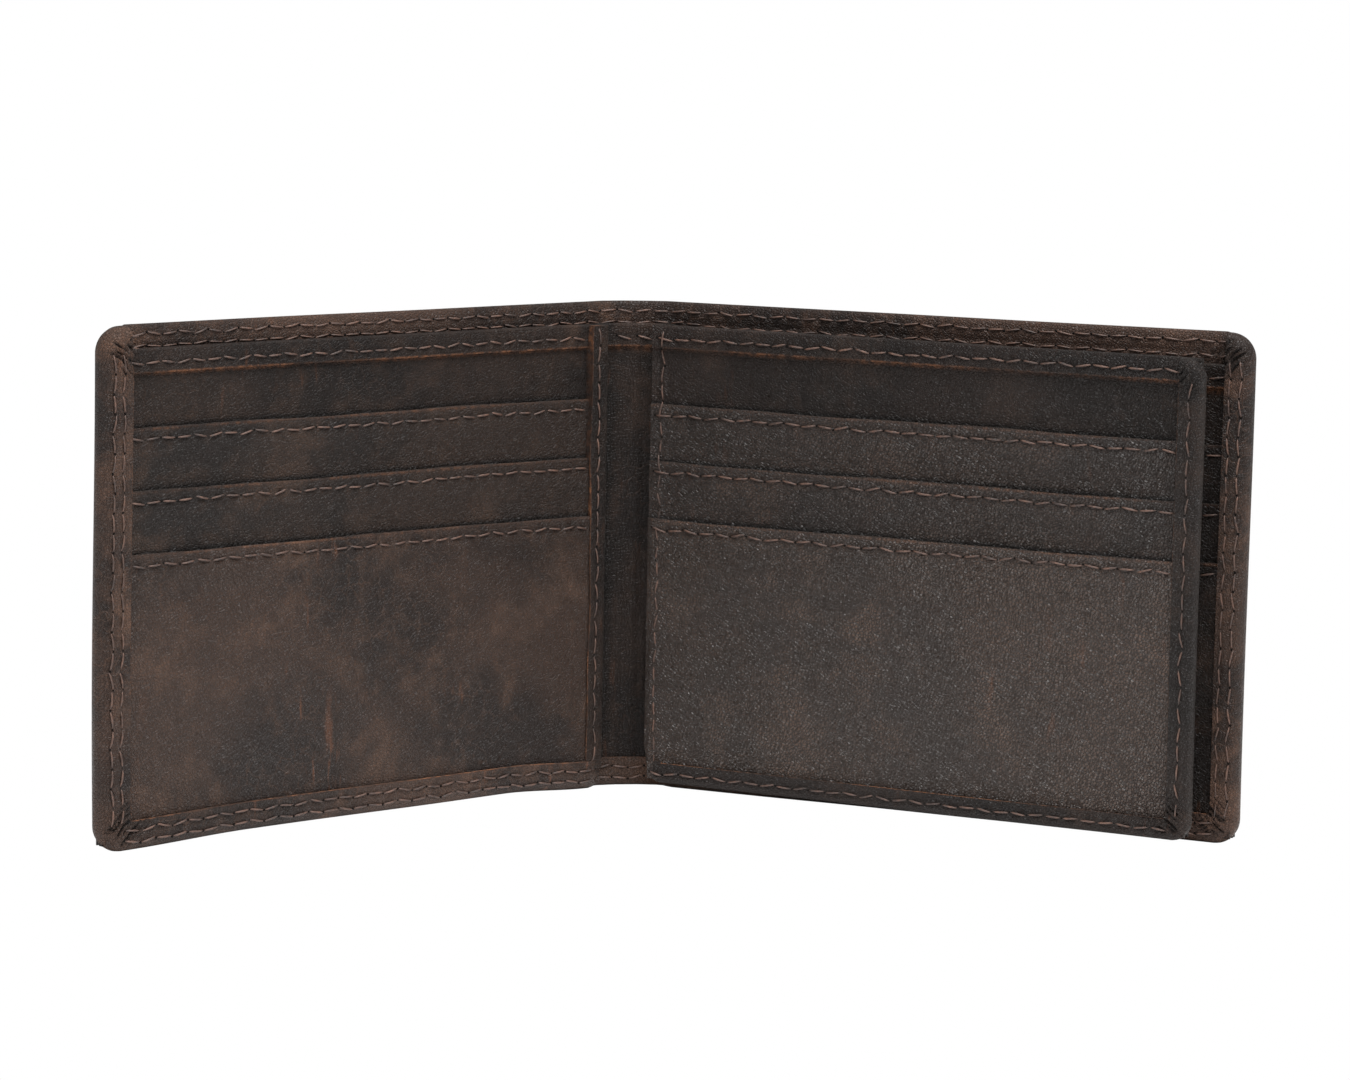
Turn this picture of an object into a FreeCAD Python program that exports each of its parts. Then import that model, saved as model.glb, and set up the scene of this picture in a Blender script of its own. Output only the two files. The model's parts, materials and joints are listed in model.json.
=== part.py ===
"""Bifold leather wallet, standing open on its bottom edges.

One rectangle of cover leather runs over the left half, the spine and the right half.  Its edges are
turned to the inside as hems, which hold the note compartment's front wall and the card pockets.  A
swing page with three more card pockets is sewn to the right half along its spine side.  The leather
bends at four creases: the two outer creases beside the halves, and the two inner creases of the spine.

Frame: +X along the open wallet, +Z up, -Y towards the inside of the opening.  The origin is at the
middle of the base.  Every rigid group is drawn flat, in its own frame: the frame's origin is on its
crease, local X runs along the leather, local Z is up, and depth is counted along local -Y, from the
crease towards the inside of the wallet.
"""
import FreeCAD, Part
import os
import re
import Sketcher

SIZES = (
    # alias, value, meaning
    ("wallet_height", 90.0, "cover, bottom edge to top edge"),
    ("half_width", 114.0, "outer crease to the outer edge of either half"),
    ("mid_width", 4.5, "between the two inner creases of the spine"),
    ("strip_width", 3.5, "inner crease to outer crease"),
    ("corner_radius", 5.0, "outer corners of the cover"),
    ("crease_depth", 1.5, "outer face of the cover to the line it bends about"),
    ("crease_gap", 0.05, "clearance of every part to the plane of its crease"),
    ("inner_rest", 11.0, "turn of each inner crease as the wallet stands, degrees"),
    ("outer_rest", 23.0, "turn of each outer crease as the wallet stands, degrees"),
    ("cover_leather", 1.0, "thickness of the cover"),
    ("hem_leather", 0.7, "skived cover leather where it is turned over"),
    ("top_hem_leather", 0.6, "turned hem along the top edge of the cover"),
    ("lining_cloth", 0.3, "note compartment lining"),
    ("note_gap", 0.6, "empty note compartment, front to back"),
    ("wall_leather", 0.5, "front wall of the note compartment"),
    ("panel_leather", 0.5, "card panel behind the left pockets"),
    ("pocket_leather", 0.5, "each card pocket"),
    ("left_side_hem", 5.6, "turned hem at the left outer edge"),
    ("right_side_hem", 4.8, "turned hem at the right outer edge"),
    ("bottom_hem", 5.4, "turned hem along the bottom edge"),
    ("top_hem", 6.0, "turned hem along the top edge, inside the note compartment"),
    ("tuck_gap", 0.2, "layers to the inside of the turned edge"),
    ("wall_drop", 4.0, "top of the cover down to the top of the note compartment's front wall"),
    ("right_wall_drop", 5.6, "top of the cover down to the top of that wall on the right half"),
    ("spine_side", 0.8, "outer crease to the first card layer of either half"),
    ("inner_trim", 0.75, "spine wall leather cut back from an outer crease"),
    ("inner_trim_mid", 0.4, "spine wall leather cut back from an inner crease"),
    ("hem_trim", 1.7, "spine bottom hem cut back from an outer crease"),
    ("hem_trim_mid", 0.6, "spine bottom hem cut back from an inner crease"),
    ("hem_start", 2.4, "outer crease to the start of the left half's own bottom hem"),
    ("left_top_lip", 72.5, "upper left pocket mouth above the base"),
    ("left_lip_step", 10.8, "left pocket mouths, one to the next"),
    ("right_top_lip", 70.3, "upper right pocket mouth above the base"),
    ("right_lip_step", 10.3, "right pocket mouths, one to the next"),
    ("flap_top_lip", 71.5, "upper swing page pocket mouth above the base"),
    ("flap_lip_step", 10.5, "swing page pocket mouths, one to the next"),
    ("card_depth", 47.5, "depth of each pocket below its mouth"),
    ("pocket_overlap", 5.5, "leather of an upper pocket below the next mouth"),
    ("tongue_inset", 8.0, "narrowing of an upper pocket's hidden tongue, each side"),
    ("turned_strip", 4.2, "turned edge along the top of a wall or page"),
    ("edge_strip", 4.7, "turned spine-side edge of the left card panel"),
    ("flap_start", 3.2, "outer crease to the swing page's moving part"),
    ("flap_inset", 5.6, "outer edge of the cover to the swing page's free edge"),
    ("flap_base", 1.5, "bottom of the swing page above the base"),
    ("flap_clear", 0.3, "swing page pressed flat, to the hem behind it"),
    ("flap_leather", 0.5, "front panel and back of the swing page"),
    ("flap_strip_leather", 0.6, "turned edge around the swing page"),
    ("flap_side_hem", 4.4, "turned edge at the swing page's free side"),
    ("flap_bottom_hem", 3.7, "turned edge along the swing page's bottom"),
    ("flap_rest", 2.8, "lift of the swing page off the right half, degrees"),
    ("flap_pivot_drop", 0.6, "front of the turned edge down to the line the page turns about"),
    ("pivot_gap", 0.1, "start of the swing page's moving part to the line it turns about"),
    ("margin_gap", 0.8, "start of the swing page's moving part to the pockets behind it"),
    ("hinge_margin", 2.2, "width of the swing page's sewn margin"),
    ("hinge_height", 5.1, "front of the sewn margin in front of the crease line"),
    ("thread", 0.4, "sewing thread, width of a row"),
    ("thread_proud", 0.2, "sewing thread, height of a row above the leather"),
    ("outer_row", 1.8, "outer edge to the first row on a side hem"),
    ("inner_row", 3.7, "outer edge to the second row on a side hem"),
    ("bottom_outer_row", 1.8, "bottom edge to the first row on the bottom hem"),
    ("bottom_inner_row", 3.9, "bottom edge to the second row on the bottom hem"),
    ("lip_row", 2.0, "pocket mouth down to its row"),
    ("wall_row", 2.5, "top of a wall or page down to its row"),
    ("edge_row", 3.0, "spine-side turned edge to its row"),
    ("flap_side_row", 2.3, "free edge of the swing page to its row"),
    ("flap_bottom_row", 1.9, "bottom edge of the swing page to its row"),
    ("hinge_row", 1.0, "start of the sewn margin to its row"),
)
VALUES = {alias: value for alias, value, meaning in SIZES}

doc = FreeCAD.newDocument("BifoldWallet")
sheet = doc.addObject("Spreadsheet::Sheet", "Sizes")
for row, (alias, value, meaning) in enumerate(SIZES, start=1):
    sheet.set("A%d" % row, str(value))
    sheet.setAlias("A%d" % row, alias)
    sheet.set("B%d" % row, meaning)
doc.recompute()

# Depths in front of the crease line, as expressions of the sheet.
POCKETS = "3 * pocket_leather"
COVER_BACK = "-crease_depth"
COVER_FRONT = "(cover_leather - crease_depth)"
LINING_FRONT = "(%s + lining_cloth)" % COVER_FRONT
WALL_BACK = "(%s + note_gap)" % LINING_FRONT
WALL_FRONT = "(%s + wall_leather)" % WALL_BACK
PANEL_FRONT = "(%s + panel_leather)" % WALL_FRONT
POCKETS_BACK = {"left": PANEL_FRONT, "right": WALL_FRONT}
HEM_BACK = {side: "(%s + %s)" % (back, POCKETS) for side, back in POCKETS_BACK.items()}
HEM_FRONT = {side: "(%s + hem_leather)" % back for side, back in HEM_BACK.items()}
HEM_START = {"left": "hem_start", "right": "(spine_side + hinge_margin + tuck_gap)"}
WALL_TOP = "(wallet_height - wall_drop)"
WALL_TOPS = {"left": WALL_TOP, "right": "(wallet_height - right_wall_drop)"}
TUCK = "(cover_leather + tuck_gap)"
TUCKED_END = "(half_width - %s)" % TUCK
TUCKED_RADIUS = "corner_radius - %s" % TUCK
FLAP_BACK = "(%s + flap_clear)" % HEM_FRONT["right"]
FLAP_PANEL = "(%s + flap_leather)" % FLAP_BACK
FLAP_POCKETS = "(%s + flap_leather)" % FLAP_PANEL
FLAP_STRIP = "(%s + %s)" % (FLAP_POCKETS, POCKETS)
FLAP_FRONT = "(%s + flap_strip_leather)" % FLAP_STRIP
FLAP_PIVOT = "(%s - flap_pivot_drop)" % FLAP_FRONT
FLAP_TOP = WALL_TOP
RIGHT_START = "(flap_start + margin_gap)"

# Places and turns of the rigid groups' frames, the wallet standing open.
HALF_TURN = "(inner_rest + outer_rest)"
FLAP_TURN = "(%s + flap_rest)" % HALF_TURN
FLAP_TO = "(half_width - flap_inset - flap_start + pivot_gap)"
# The swing page's free edge stands farthest forward.
REACH = "(%s + %s + %s + %s)" % (
    "strip_width * sin(inner_rest) + (flap_start - pivot_gap) * sin(%s)" % HALF_TURN,
    "%s * cos(%s)" % (FLAP_PIVOT, HALF_TURN), "%s * sin(%s)" % (FLAP_TO, FLAP_TURN),
    "flap_pivot_drop * cos(%s)" % FLAP_TURN)
SPINE_Y = "((%s - crease_depth) / 2)" % REACH
STRIP_X = "(mid_width / 2)"
HALF_X = "(mid_width / 2 + strip_width * cos(inner_rest))"
HALF_Y = "(%s - strip_width * sin(inner_rest))" % SPINE_Y
FLAP_X = "(%s + (flap_start - pivot_gap) * cos(%s) - %s * sin(%s))" % (
    HALF_X, HALF_TURN, FLAP_PIVOT, HALF_TURN)
FLAP_Y = "(%s - (flap_start - pivot_gap) * sin(%s) - %s * cos(%s))" % (
    HALF_Y, HALF_TURN, FLAP_PIVOT, HALF_TURN)
FRAMES = {
    "spine_mid": ("0", SPINE_Y, "0"),
    "spine_left": ("-" + STRIP_X, SPINE_Y, "inner_rest"),
    "spine_right": (STRIP_X, SPINE_Y, "-inner_rest"),
    "left_half": ("-" + HALF_X, HALF_Y, HALF_TURN),
    "right_half": (HALF_X, HALF_Y, "-" + HALF_TURN),
    "flap": (FLAP_X, FLAP_Y, "-" + FLAP_TURN),
}

pieces = []


def bound(text):
    """The text with every size named in it read from the sheet."""
    return re.sub(r"[a-z_]+", lambda word: "Sizes." + word.group() if word.group() in VALUES
                  else word.group(), text)


def number(text):
    """The present value of an expression of the sheet."""
    return float(sheet.evalExpression(bound(text)))


def piece(label, frame):
    """An empty body, placed and turned with the rigid group that it belongs to."""
    body = doc.addObject("PartDesign::Body", label)
    body.Label = label
    body.Placement = FreeCAD.Placement(FreeCAD.Vector(), FreeCAD.Rotation(FreeCAD.Vector(0, 0, 1), 0))
    place_x, place_y, turn = FRAMES[frame]
    body.setExpression("Placement.Base.x", bound(place_x))
    body.setExpression("Placement.Base.y", bound(place_y))
    body.setExpression("Placement.Rotation.Angle", bound(turn))
    pieces.append(body)
    return body


def layer(body, outline, back, thickness, rounds=()):
    """A flat layer: the outline's corners along the leather and up, padded from its back forwards.

    Each of the rounds is an outline corner's number and the radius it is rounded to.
    """
    count = len(body.Group)
    sketch = body.newObject("Sketcher::SketchObject", "%s_outline_%d" % (body.Label, count))
    plane = [item for item in body.Origin.OriginFeatures if item.Role == "XZ_Plane"][0]
    sketch.AttachmentSupport = [(plane, "")]
    sketch.MapMode = "FlatFace"
    sketch.setExpression("AttachmentOffset.Base.z", bound(back))
    corners = [FreeCAD.Vector(number(along), number(up), 0) for along, up in outline]
    for index, corner in enumerate(corners):
        sketch.addGeometry(Part.LineSegment(corner, corners[(index + 1) % len(corners)]))
    for index, (along, up) in enumerate(outline):
        following = (index + 1) % len(outline)
        sketch.addConstraint(Sketcher.Constraint("Coincident", index, 2, following, 1))
        for kind, distance in (("DistanceX", along), ("DistanceY", up)):
            rule = Sketcher.Constraint(kind, -1, 1, index, 1, number(distance))
            sketch.setExpression("Constraints[%d]" % sketch.addConstraint(rule), bound(distance))
    for corner, radius in rounds:
        arc = sketch.GeometryCount
        sketch.fillet(corner, 1, number(radius), True, True)
        rule = Sketcher.Constraint("Radius", arc, number(radius))
        sketch.setExpression("Constraints[%d]" % sketch.addConstraint(rule), bound(radius))
    pad = body.newObject("PartDesign::Pad", "%s_pad_%d" % (body.Label, count))
    pad.Profile = sketch
    pad.setExpression("Length", bound(thickness))
    body.Tip = pad
    doc.recompute()
    return pad


def rectangle(start, end, low, high):
    """The four corners of a strip or plate."""
    return [(start, low), (end, low), (end, high), (start, high)]


def edge_band(sign, start, end, side_width, low, high, bottom_width):
    """An L: along the bottom from start to the outer edge, and up the outer edge."""
    inner = "(%s - %s)" % (end, side_width)
    above = "(%s + %s)" % (low, bottom_width)
    corners = [(start, low), (end, low), (end, high), (inner, high), (inner, above), (start, above)]
    return [(sign + along, up) for along, up in corners]


def cover_half(side, sign):
    """The cover leather over one half: the outer face, the turned edge and its hems."""
    body = piece("cover_" + side, side + "_half")
    side_hem = side + "_side_hem"
    radius = "min(corner_radius; %s - hem_leather)" % side_hem
    layer(body, rectangle(sign + "crease_gap", sign + "half_width", "0", "wallet_height"),
          COVER_BACK, "cover_leather", [(1, radius), (2, radius)])
    layer(body, edge_band(sign, HEM_START[side], "half_width", "cover_leather", "0",
                          "(wallet_height - corner_radius - cover_leather)", "cover_leather"),
          COVER_FRONT, "%s - %s" % (HEM_BACK[side], COVER_FRONT),
          [(1, radius), (4, "%s - cover_leather" % radius)])
    layer(body, edge_band(sign, HEM_START[side], "half_width", side_hem, "0", "wallet_height",
                          "bottom_hem"), HEM_BACK[side], "hem_leather", [(1, radius), (2, radius)])
    layer(body, rectangle(sign + "spine_side", sign + "(half_width - corner_radius - tuck_gap)",
                          "wallet_height - top_hem", "wallet_height"),
          COVER_FRONT, "top_hem_leather")


def tucked_layer(label, side, sign, start, top, back, thickness):
    """A full layer of one half, its outer and bottom edges inside the turned edge of the cover."""
    body = piece(label, side + "_half")
    layer(body, rectangle(sign + start, sign + TUCKED_END, TUCK, top), back, thickness,
          [(1, TUCKED_RADIUS)])
    return body


def card_pockets(prefix, frame, sign, start, end, low, radius, mouths, back):
    """Three card pockets in front of each other, the upper two cut as a T with a hidden tongue."""
    top_lip, step = mouths
    for rank, name in enumerate(("top", "middle")):
        body = piece("%s_pocket_%s" % (prefix, name), frame)
        lip = "(%s - %d * %s)" % (top_lip, rank, step)
        bar = "(%s - %s - pocket_overlap)" % (lip, step)
        foot = "(%s - card_depth)" % lip
        inner = "(%s + tongue_inset)" % start
        outer = "(%s - tongue_inset)" % end
        shape = [(start, lip), (start, bar), (inner, bar), (inner, foot),
                 (outer, foot), (outer, bar), (end, bar), (end, lip)]
        layer(body, [(sign + along, up) for along, up in shape],
              "%s + %d * pocket_leather" % (back, rank), "pocket_leather")
    body = piece("%s_pocket_bottom" % prefix, frame)
    layer(body, rectangle(sign + start, sign + end, low, "%s - 2 * %s" % (top_lip, step)),
          "%s + 2 * pocket_leather" % back, "pocket_leather", [(1, radius)])


def row(body, start, end, low, high, depth):
    """One straight row of sewing, standing a little proud of the leather at the given depth."""
    layer(body, rectangle(start, end, low, high), depth, "thread_proud")


def level_row(body, start, end, height, depth):
    """A row along the leather, centred on a height."""
    row(body, start, end, "%s - thread / 2" % height, "%s + thread / 2" % height, depth)


def upright_row(body, sign, along, low, high, depth):
    """A row up the leather, centred on a distance from the crease."""
    row(body, "%s(%s - thread / 2)" % (sign, along), "%s(%s + thread / 2)" % (sign, along),
        low, high, depth)


def sewing(label, frame, rows):
    """Rows of sewing of one seam as separate solids in one node."""
    made = []
    for number_of_row, (kind, arguments) in enumerate(rows, start=1):
        body = piece("%s_%d" % (label, number_of_row), frame)
        pieces.remove(body)
        kind(body, *arguments)
        made.append(body)
    group = doc.addObject("Part::Compound", label)
    group.Label = label
    group.Links = made
    pieces.append(group)


# The cover over both halves, the lining glued inside it and the note compartment's front wall.
for side, sign in (("left", "-"), ("right", "+")):
    cover_half(side, sign)
    tucked_layer("note_lining_" + side, side, sign, "crease_gap", "wallet_height - top_hem",
                 COVER_FRONT, "lining_cloth")
    tucked_layer("inner_wall_" + side, side, sign, "spine_side", WALL_TOPS[side], WALL_BACK,
                 "wall_leather")

# The left card panel, its spine-side edge turned forward over the ends of its pockets.
panel = tucked_layer("left_card_panel", "left", "-", "spine_side", WALL_TOP, WALL_FRONT,
                     "panel_leather")
layer(panel, rectangle("-spine_side", "-(spine_side + panel_leather)", TUCK, WALL_TOP),
      PANEL_FRONT, POCKETS + " + panel_leather")
layer(panel, rectangle("-spine_side", "-(spine_side + edge_strip)", "bottom_hem + tuck_gap",
                       WALL_TOP), HEM_BACK["left"], "panel_leather")
layer(panel, rectangle("-(spine_side + panel_leather)", "-" + TUCKED_END,
                       "%s - turned_strip" % WALL_TOP, WALL_TOP), PANEL_FRONT, "panel_leather")

# Three card pockets on each half.
for side, sign, start in (("left", "-", "(spine_side + panel_leather + tuck_gap)"),
                          ("right", "+", RIGHT_START)):
    card_pockets(side, side + "_half", sign, start, TUCKED_END, TUCK, TUCKED_RADIUS,
                 (side + "_top_lip", side + "_lip_step"), POCKETS_BACK[side])
wall_strip = [item for item in pieces if item.Label == "inner_wall_right"][0]
layer(wall_strip, rectangle(RIGHT_START, TUCKED_END,
                            "%s - turned_strip" % WALL_TOPS["right"], WALL_TOPS["right"]),
      WALL_FRONT, "wall_leather")

# The spine: cover, lining and wall leather between the creases, hemmed at the bottom.
for name, frame, start, end, trim_start, trim_end in (
        ("left", "spine_left", "-strip_width", "0", "trim", "mid"),
        ("mid", "spine_mid", "-mid_width / 2", "mid_width / 2", "mid", "mid"),
        ("right", "spine_right", "0", "strip_width", "mid", "trim")):
    wall_trims = {"trim": "inner_trim", "mid": "inner_trim_mid"}
    hem_trims = {"trim": "hem_trim", "mid": "hem_trim_mid"}
    near = "%s + crease_gap" % start
    far = "%s - crease_gap" % end
    wall_near = "%s + %s" % (start, wall_trims[trim_start])
    wall_far = "%s - %s" % (end, wall_trims[trim_end])
    hem_near = "%s + %s" % (start, hem_trims[trim_start])
    hem_far = "%s - %s" % (end, hem_trims[trim_end])
    cover = piece("cover_spine_" + name, frame)
    layer(cover, rectangle(near, far, "0", "wallet_height"), COVER_BACK, "cover_leather")
    layer(cover, rectangle(hem_near, hem_far, "0", "cover_leather"), COVER_FRONT,
          "%s - %s" % (WALL_FRONT, COVER_FRONT))
    layer(cover, rectangle(hem_near, hem_far, "0", "bottom_hem"), WALL_FRONT, "hem_leather")
    layer(cover, rectangle(wall_near, wall_far, "wallet_height - top_hem", "wallet_height"),
          COVER_FRONT, "top_hem_leather")
    lining = piece("note_lining_spine_" + name, frame)
    layer(lining, rectangle(near, far, TUCK, "wallet_height - top_hem"), COVER_FRONT,
          "lining_cloth")
    wall = piece("inner_wall_spine_" + name, frame)
    layer(wall, rectangle(wall_near, wall_far, TUCK, WALL_TOP), WALL_BACK, "wall_leather")
    sewing("spine_stitching_" + name, frame, [
        (level_row, (hem_near, hem_far, "bottom_outer_row", "%s + hem_leather" % WALL_FRONT)),
        (level_row, (hem_near, hem_far, "bottom_inner_row", "%s + hem_leather" % WALL_FRONT)),
        (level_row, (wall_near, wall_far, "(%s - wall_row)" % WALL_TOP, WALL_FRONT))])

# The swing page: its sewn margin stays on the right half, the rest turns about the margin's edge.
# The back's free side and bottom edge are turned forward over the panel and the pockets.
FLAP_FROM = "pivot_gap"
FLAP_TUCK = "(flap_leather + tuck_gap)"
PANEL_START = "%s - %s" % (FLAP_PANEL, FLAP_PIVOT)
POCKETS_START = "%s - %s" % (FLAP_POCKETS, FLAP_PIVOT)
margin = piece("flap_hinge_margin", "right_half")
layer(margin, rectangle("spine_side", "spine_side + hinge_margin", "flap_base", FLAP_TOP),
      WALL_FRONT, "hinge_height - %s" % WALL_FRONT)
flap_back = piece("flap_back", "flap")
layer(flap_back, rectangle(FLAP_FROM, FLAP_TO, "flap_base", FLAP_TOP),
      "%s - %s" % (FLAP_BACK, FLAP_PIVOT), "flap_leather",
      [(1, "corner_radius"), (2, "corner_radius")])
layer(flap_back, edge_band("", FLAP_FROM, FLAP_TO, "flap_leather", "flap_base",
                           "(%s - corner_radius - flap_leather)" % FLAP_TOP, "flap_leather"),
      PANEL_START, "flap_leather + " + POCKETS,
      [(1, "corner_radius"), (4, "corner_radius - flap_leather")])
layer(flap_back, edge_band("", FLAP_FROM, FLAP_TO, "flap_side_hem", "flap_base", FLAP_TOP,
                           "flap_bottom_hem"), "%s - %s" % (FLAP_STRIP, FLAP_PIVOT),
      "flap_strip_leather", [(1, "corner_radius"), (2, "corner_radius")])
flap_end = "(%s - %s)" % (FLAP_TO, FLAP_TUCK)
flap_low = "(flap_base + %s)" % FLAP_TUCK
flap_radius = "corner_radius - %s" % FLAP_TUCK
flap_panel = piece("flap_panel", "flap")
layer(flap_panel, rectangle(FLAP_FROM, flap_end, flap_low, FLAP_TOP), PANEL_START, "flap_leather",
      [(1, flap_radius), (2, flap_radius)])
layer(flap_panel, rectangle(FLAP_FROM, "%s - corner_radius - tuck_gap" % FLAP_TO,
                            "%s - turned_strip" % FLAP_TOP, FLAP_TOP), POCKETS_START,
      "flap_leather")
card_pockets("flap", "flap", "", FLAP_FROM, flap_end, flap_low, flap_radius,
             ("flap_top_lip", "flap_lip_step"), POCKETS_START)

# Sewing.  Each row lies on the leather that it holds.
for side, sign in (("left", "-"), ("right", "+")):
    hem_face = HEM_FRONT[side]
    rows = []
    for across, up in (("outer_row", "bottom_outer_row"), ("inner_row", "bottom_inner_row")):
        rows.append((upright_row, (sign, "(half_width - %s)" % across, "corner_radius",
                                   "wallet_height - corner_radius", hem_face)))
        rows.append((level_row, (sign + HEM_START[side], sign + "(half_width - corner_radius)", up,
                                 hem_face)))
    sewing(side + "_hem_stitching", side + "_half", rows)
    top_face = "%s + top_hem_leather" % COVER_FRONT
    sewing(side + "_top_stitching", side + "_half", [
        (level_row, (sign + "spine_side", sign + "(half_width - corner_radius)",
                     "(wallet_height - %s)" % height, top_face))
        for height in ("bottom_outer_row", "bottom_inner_row")])
left_end = "-(half_width - left_side_hem - tuck_gap)"
sewing("left_wall_stitching", "left_half", [
    (level_row, ("-(spine_side + edge_strip + tuck_gap)", left_end,
                 "(%s - wall_row)" % WALL_TOP, "%s + panel_leather" % PANEL_FRONT)),
    (upright_row, ("-", "(spine_side + edge_row)", "bottom_hem + tuck_gap", WALL_TOP,
                   "%s + panel_leather" % HEM_BACK["left"]))])
right_end = "half_width - right_side_hem - tuck_gap"
sewing("right_wall_stitching", "right_half", [
    (level_row, (RIGHT_START, right_end, "(%s - wall_row)" % WALL_TOPS["right"],
                 "%s + wall_leather" % WALL_FRONT)),
    (upright_row, ("", "(spine_side + hinge_row)", "flap_base", FLAP_TOP, "hinge_height"))])
for side, frame, start, end, back in (
        ("left", "left_half", "-(spine_side + edge_strip + tuck_gap)", left_end,
         POCKETS_BACK["left"]),
        ("right", "right_half", RIGHT_START, right_end, POCKETS_BACK["right"]),
        ("flap", "flap", FLAP_FROM, "%s - flap_side_hem - tuck_gap" % FLAP_TO, POCKETS_START)):
    sewing(side + "_pocket_stitching", frame, [
        (level_row, (start, end, "(%s_top_lip - %d * %s_lip_step - lip_row)" % (side, rank, side),
                     "%s + %d * pocket_leather" % (back, rank + 1))) for rank in range(3)])
strip_face = "%s - %s" % (FLAP_FRONT, FLAP_PIVOT)
sewing("flap_edge_stitching", "flap", [
    (level_row, (FLAP_FROM, "%s - corner_radius" % FLAP_TO, "(flap_base + flap_bottom_row)",
                 strip_face)),
    (level_row, (FLAP_FROM, "%s - flap_side_hem - tuck_gap" % FLAP_TO,
                 "(%s - wall_row)" % FLAP_TOP, "%s + flap_leather" % POCKETS_START)),
    (upright_row, ("", "(%s - flap_side_row)" % FLAP_TO, "flap_base + corner_radius",
                   "%s - corner_radius" % FLAP_TOP, strip_face))])

doc.recompute()
faults = [item.Name for item in doc.Objects if "Invalid" in item.State or "Error" in item.State]
faults += [item.Label for item in pieces if item.Shape.isNull() or not item.Shape.isValid()]
if faults:
    raise SystemExit("failed: " + ", ".join(faults))

os.makedirs("parts", exist_ok=True)
for item in pieces:
    item.Shape.exportStep("parts/%s.step" % item.Label)
print("%d nodes" % len(pieces))
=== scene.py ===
"""Bifold wallet: the looks of its leather, lining and sewing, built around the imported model."""
import json
import math

import bmesh
import bpy
import numpy as np
from mathutils import Matrix, Vector


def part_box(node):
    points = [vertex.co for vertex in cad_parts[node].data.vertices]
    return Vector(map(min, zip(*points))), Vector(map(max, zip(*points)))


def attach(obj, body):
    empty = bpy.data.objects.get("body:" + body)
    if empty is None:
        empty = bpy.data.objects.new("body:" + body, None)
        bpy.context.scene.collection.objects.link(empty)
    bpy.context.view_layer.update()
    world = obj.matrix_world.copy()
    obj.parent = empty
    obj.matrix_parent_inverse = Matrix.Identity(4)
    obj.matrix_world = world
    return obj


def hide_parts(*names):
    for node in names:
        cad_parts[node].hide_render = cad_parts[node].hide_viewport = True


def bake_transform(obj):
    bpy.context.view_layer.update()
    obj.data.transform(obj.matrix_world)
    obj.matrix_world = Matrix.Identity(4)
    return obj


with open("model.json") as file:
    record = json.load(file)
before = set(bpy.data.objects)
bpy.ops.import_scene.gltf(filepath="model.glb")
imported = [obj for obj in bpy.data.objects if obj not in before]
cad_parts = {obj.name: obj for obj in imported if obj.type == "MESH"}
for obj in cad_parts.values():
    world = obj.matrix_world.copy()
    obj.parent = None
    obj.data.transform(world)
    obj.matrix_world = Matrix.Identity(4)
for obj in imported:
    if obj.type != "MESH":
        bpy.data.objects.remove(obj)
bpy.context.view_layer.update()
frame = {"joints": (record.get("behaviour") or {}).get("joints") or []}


# ---- The cover
# One rectangle of waxed full-grain leather runs over the left half, the spine and the right half.
# Its edges are skived and turned to the inside as hems.  At the round corners the turned leather
# has nowhere to go, so it is pinched into overlapping pleats before it is sewn down.
MM = 0.001
hinge = {joint["name"]: np.array(joint["pos_m"]) / MM for joint in frame["joints"]}
INNER_CREASE = hinge["right_spine_bend"][0]
SPINE_BACK = hinge["right_spine_bend"][1]
OUTER_CREASE = INNER_CREASE + np.hypot(*(hinge["right_fold"] - hinge["right_spine_bend"])[:2])
INNER_TURN, OUTER_TURN = math.radians(11.0), math.radians(23.0)
INNER_ZONE, OUTER_ZONE = (0.5, 3.75), (4.1, 8.5)
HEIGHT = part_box("cover_left")[1][2] / MM
HALF_WIDTH = 114.0
COVER_END = OUTER_CREASE + HALF_WIDTH
CORNER = 4.6
COVER_BACK, COVER_FRONT = -1.5, -0.5
HEM, TOP_HEM = 0.7, 0.6
SPINE_FRONT, TOP_FRONT = 1.6, 0.1
SIDE_FRONT = {-1: 3.6, 1: 3.1}
HEM_WIDTH = {"left": 5.6, "right": 4.8, "bottom": 5.4, "top": 6.0}
COVER_ROWS = (1.8, 3.8)
TOP_BAND = 7.5


def ramp(t):
    """Smooth step: 3 t squared minus 2 t cubed, t held between 0 and 1."""
    t = np.clip(t, 0.0, 1.0)
    return t * t * (3.0 - 2.0 * t)


def sag(along, up):
    """How far the made-up leather lies off its flat plane: a few long, low waves.

    The left half's waves are the right half's turned over, so the closed halves nest.
    """
    out = np.abs(along)
    away = ramp((out - 12.0) / 40.0) * np.sign(along)
    return away * (0.30 * np.sin(out / 21.0 + 1.3) * np.sin(up / 27.0 + 0.4)
                   + 0.22 * np.sin(out / 9.5 + up / 16.0))


def bow(along, up):
    """How far the left half's lower part is drawn up between its corner and the spine."""
    out = -along
    return 1.1 * ramp((out - 8.0) / 22.0) * (1 - 0.75 * ramp((out - 88.0) / 30.0)) * (
        1 - np.clip(up / HEIGHT, 0, 1)) ** 1.3


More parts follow.
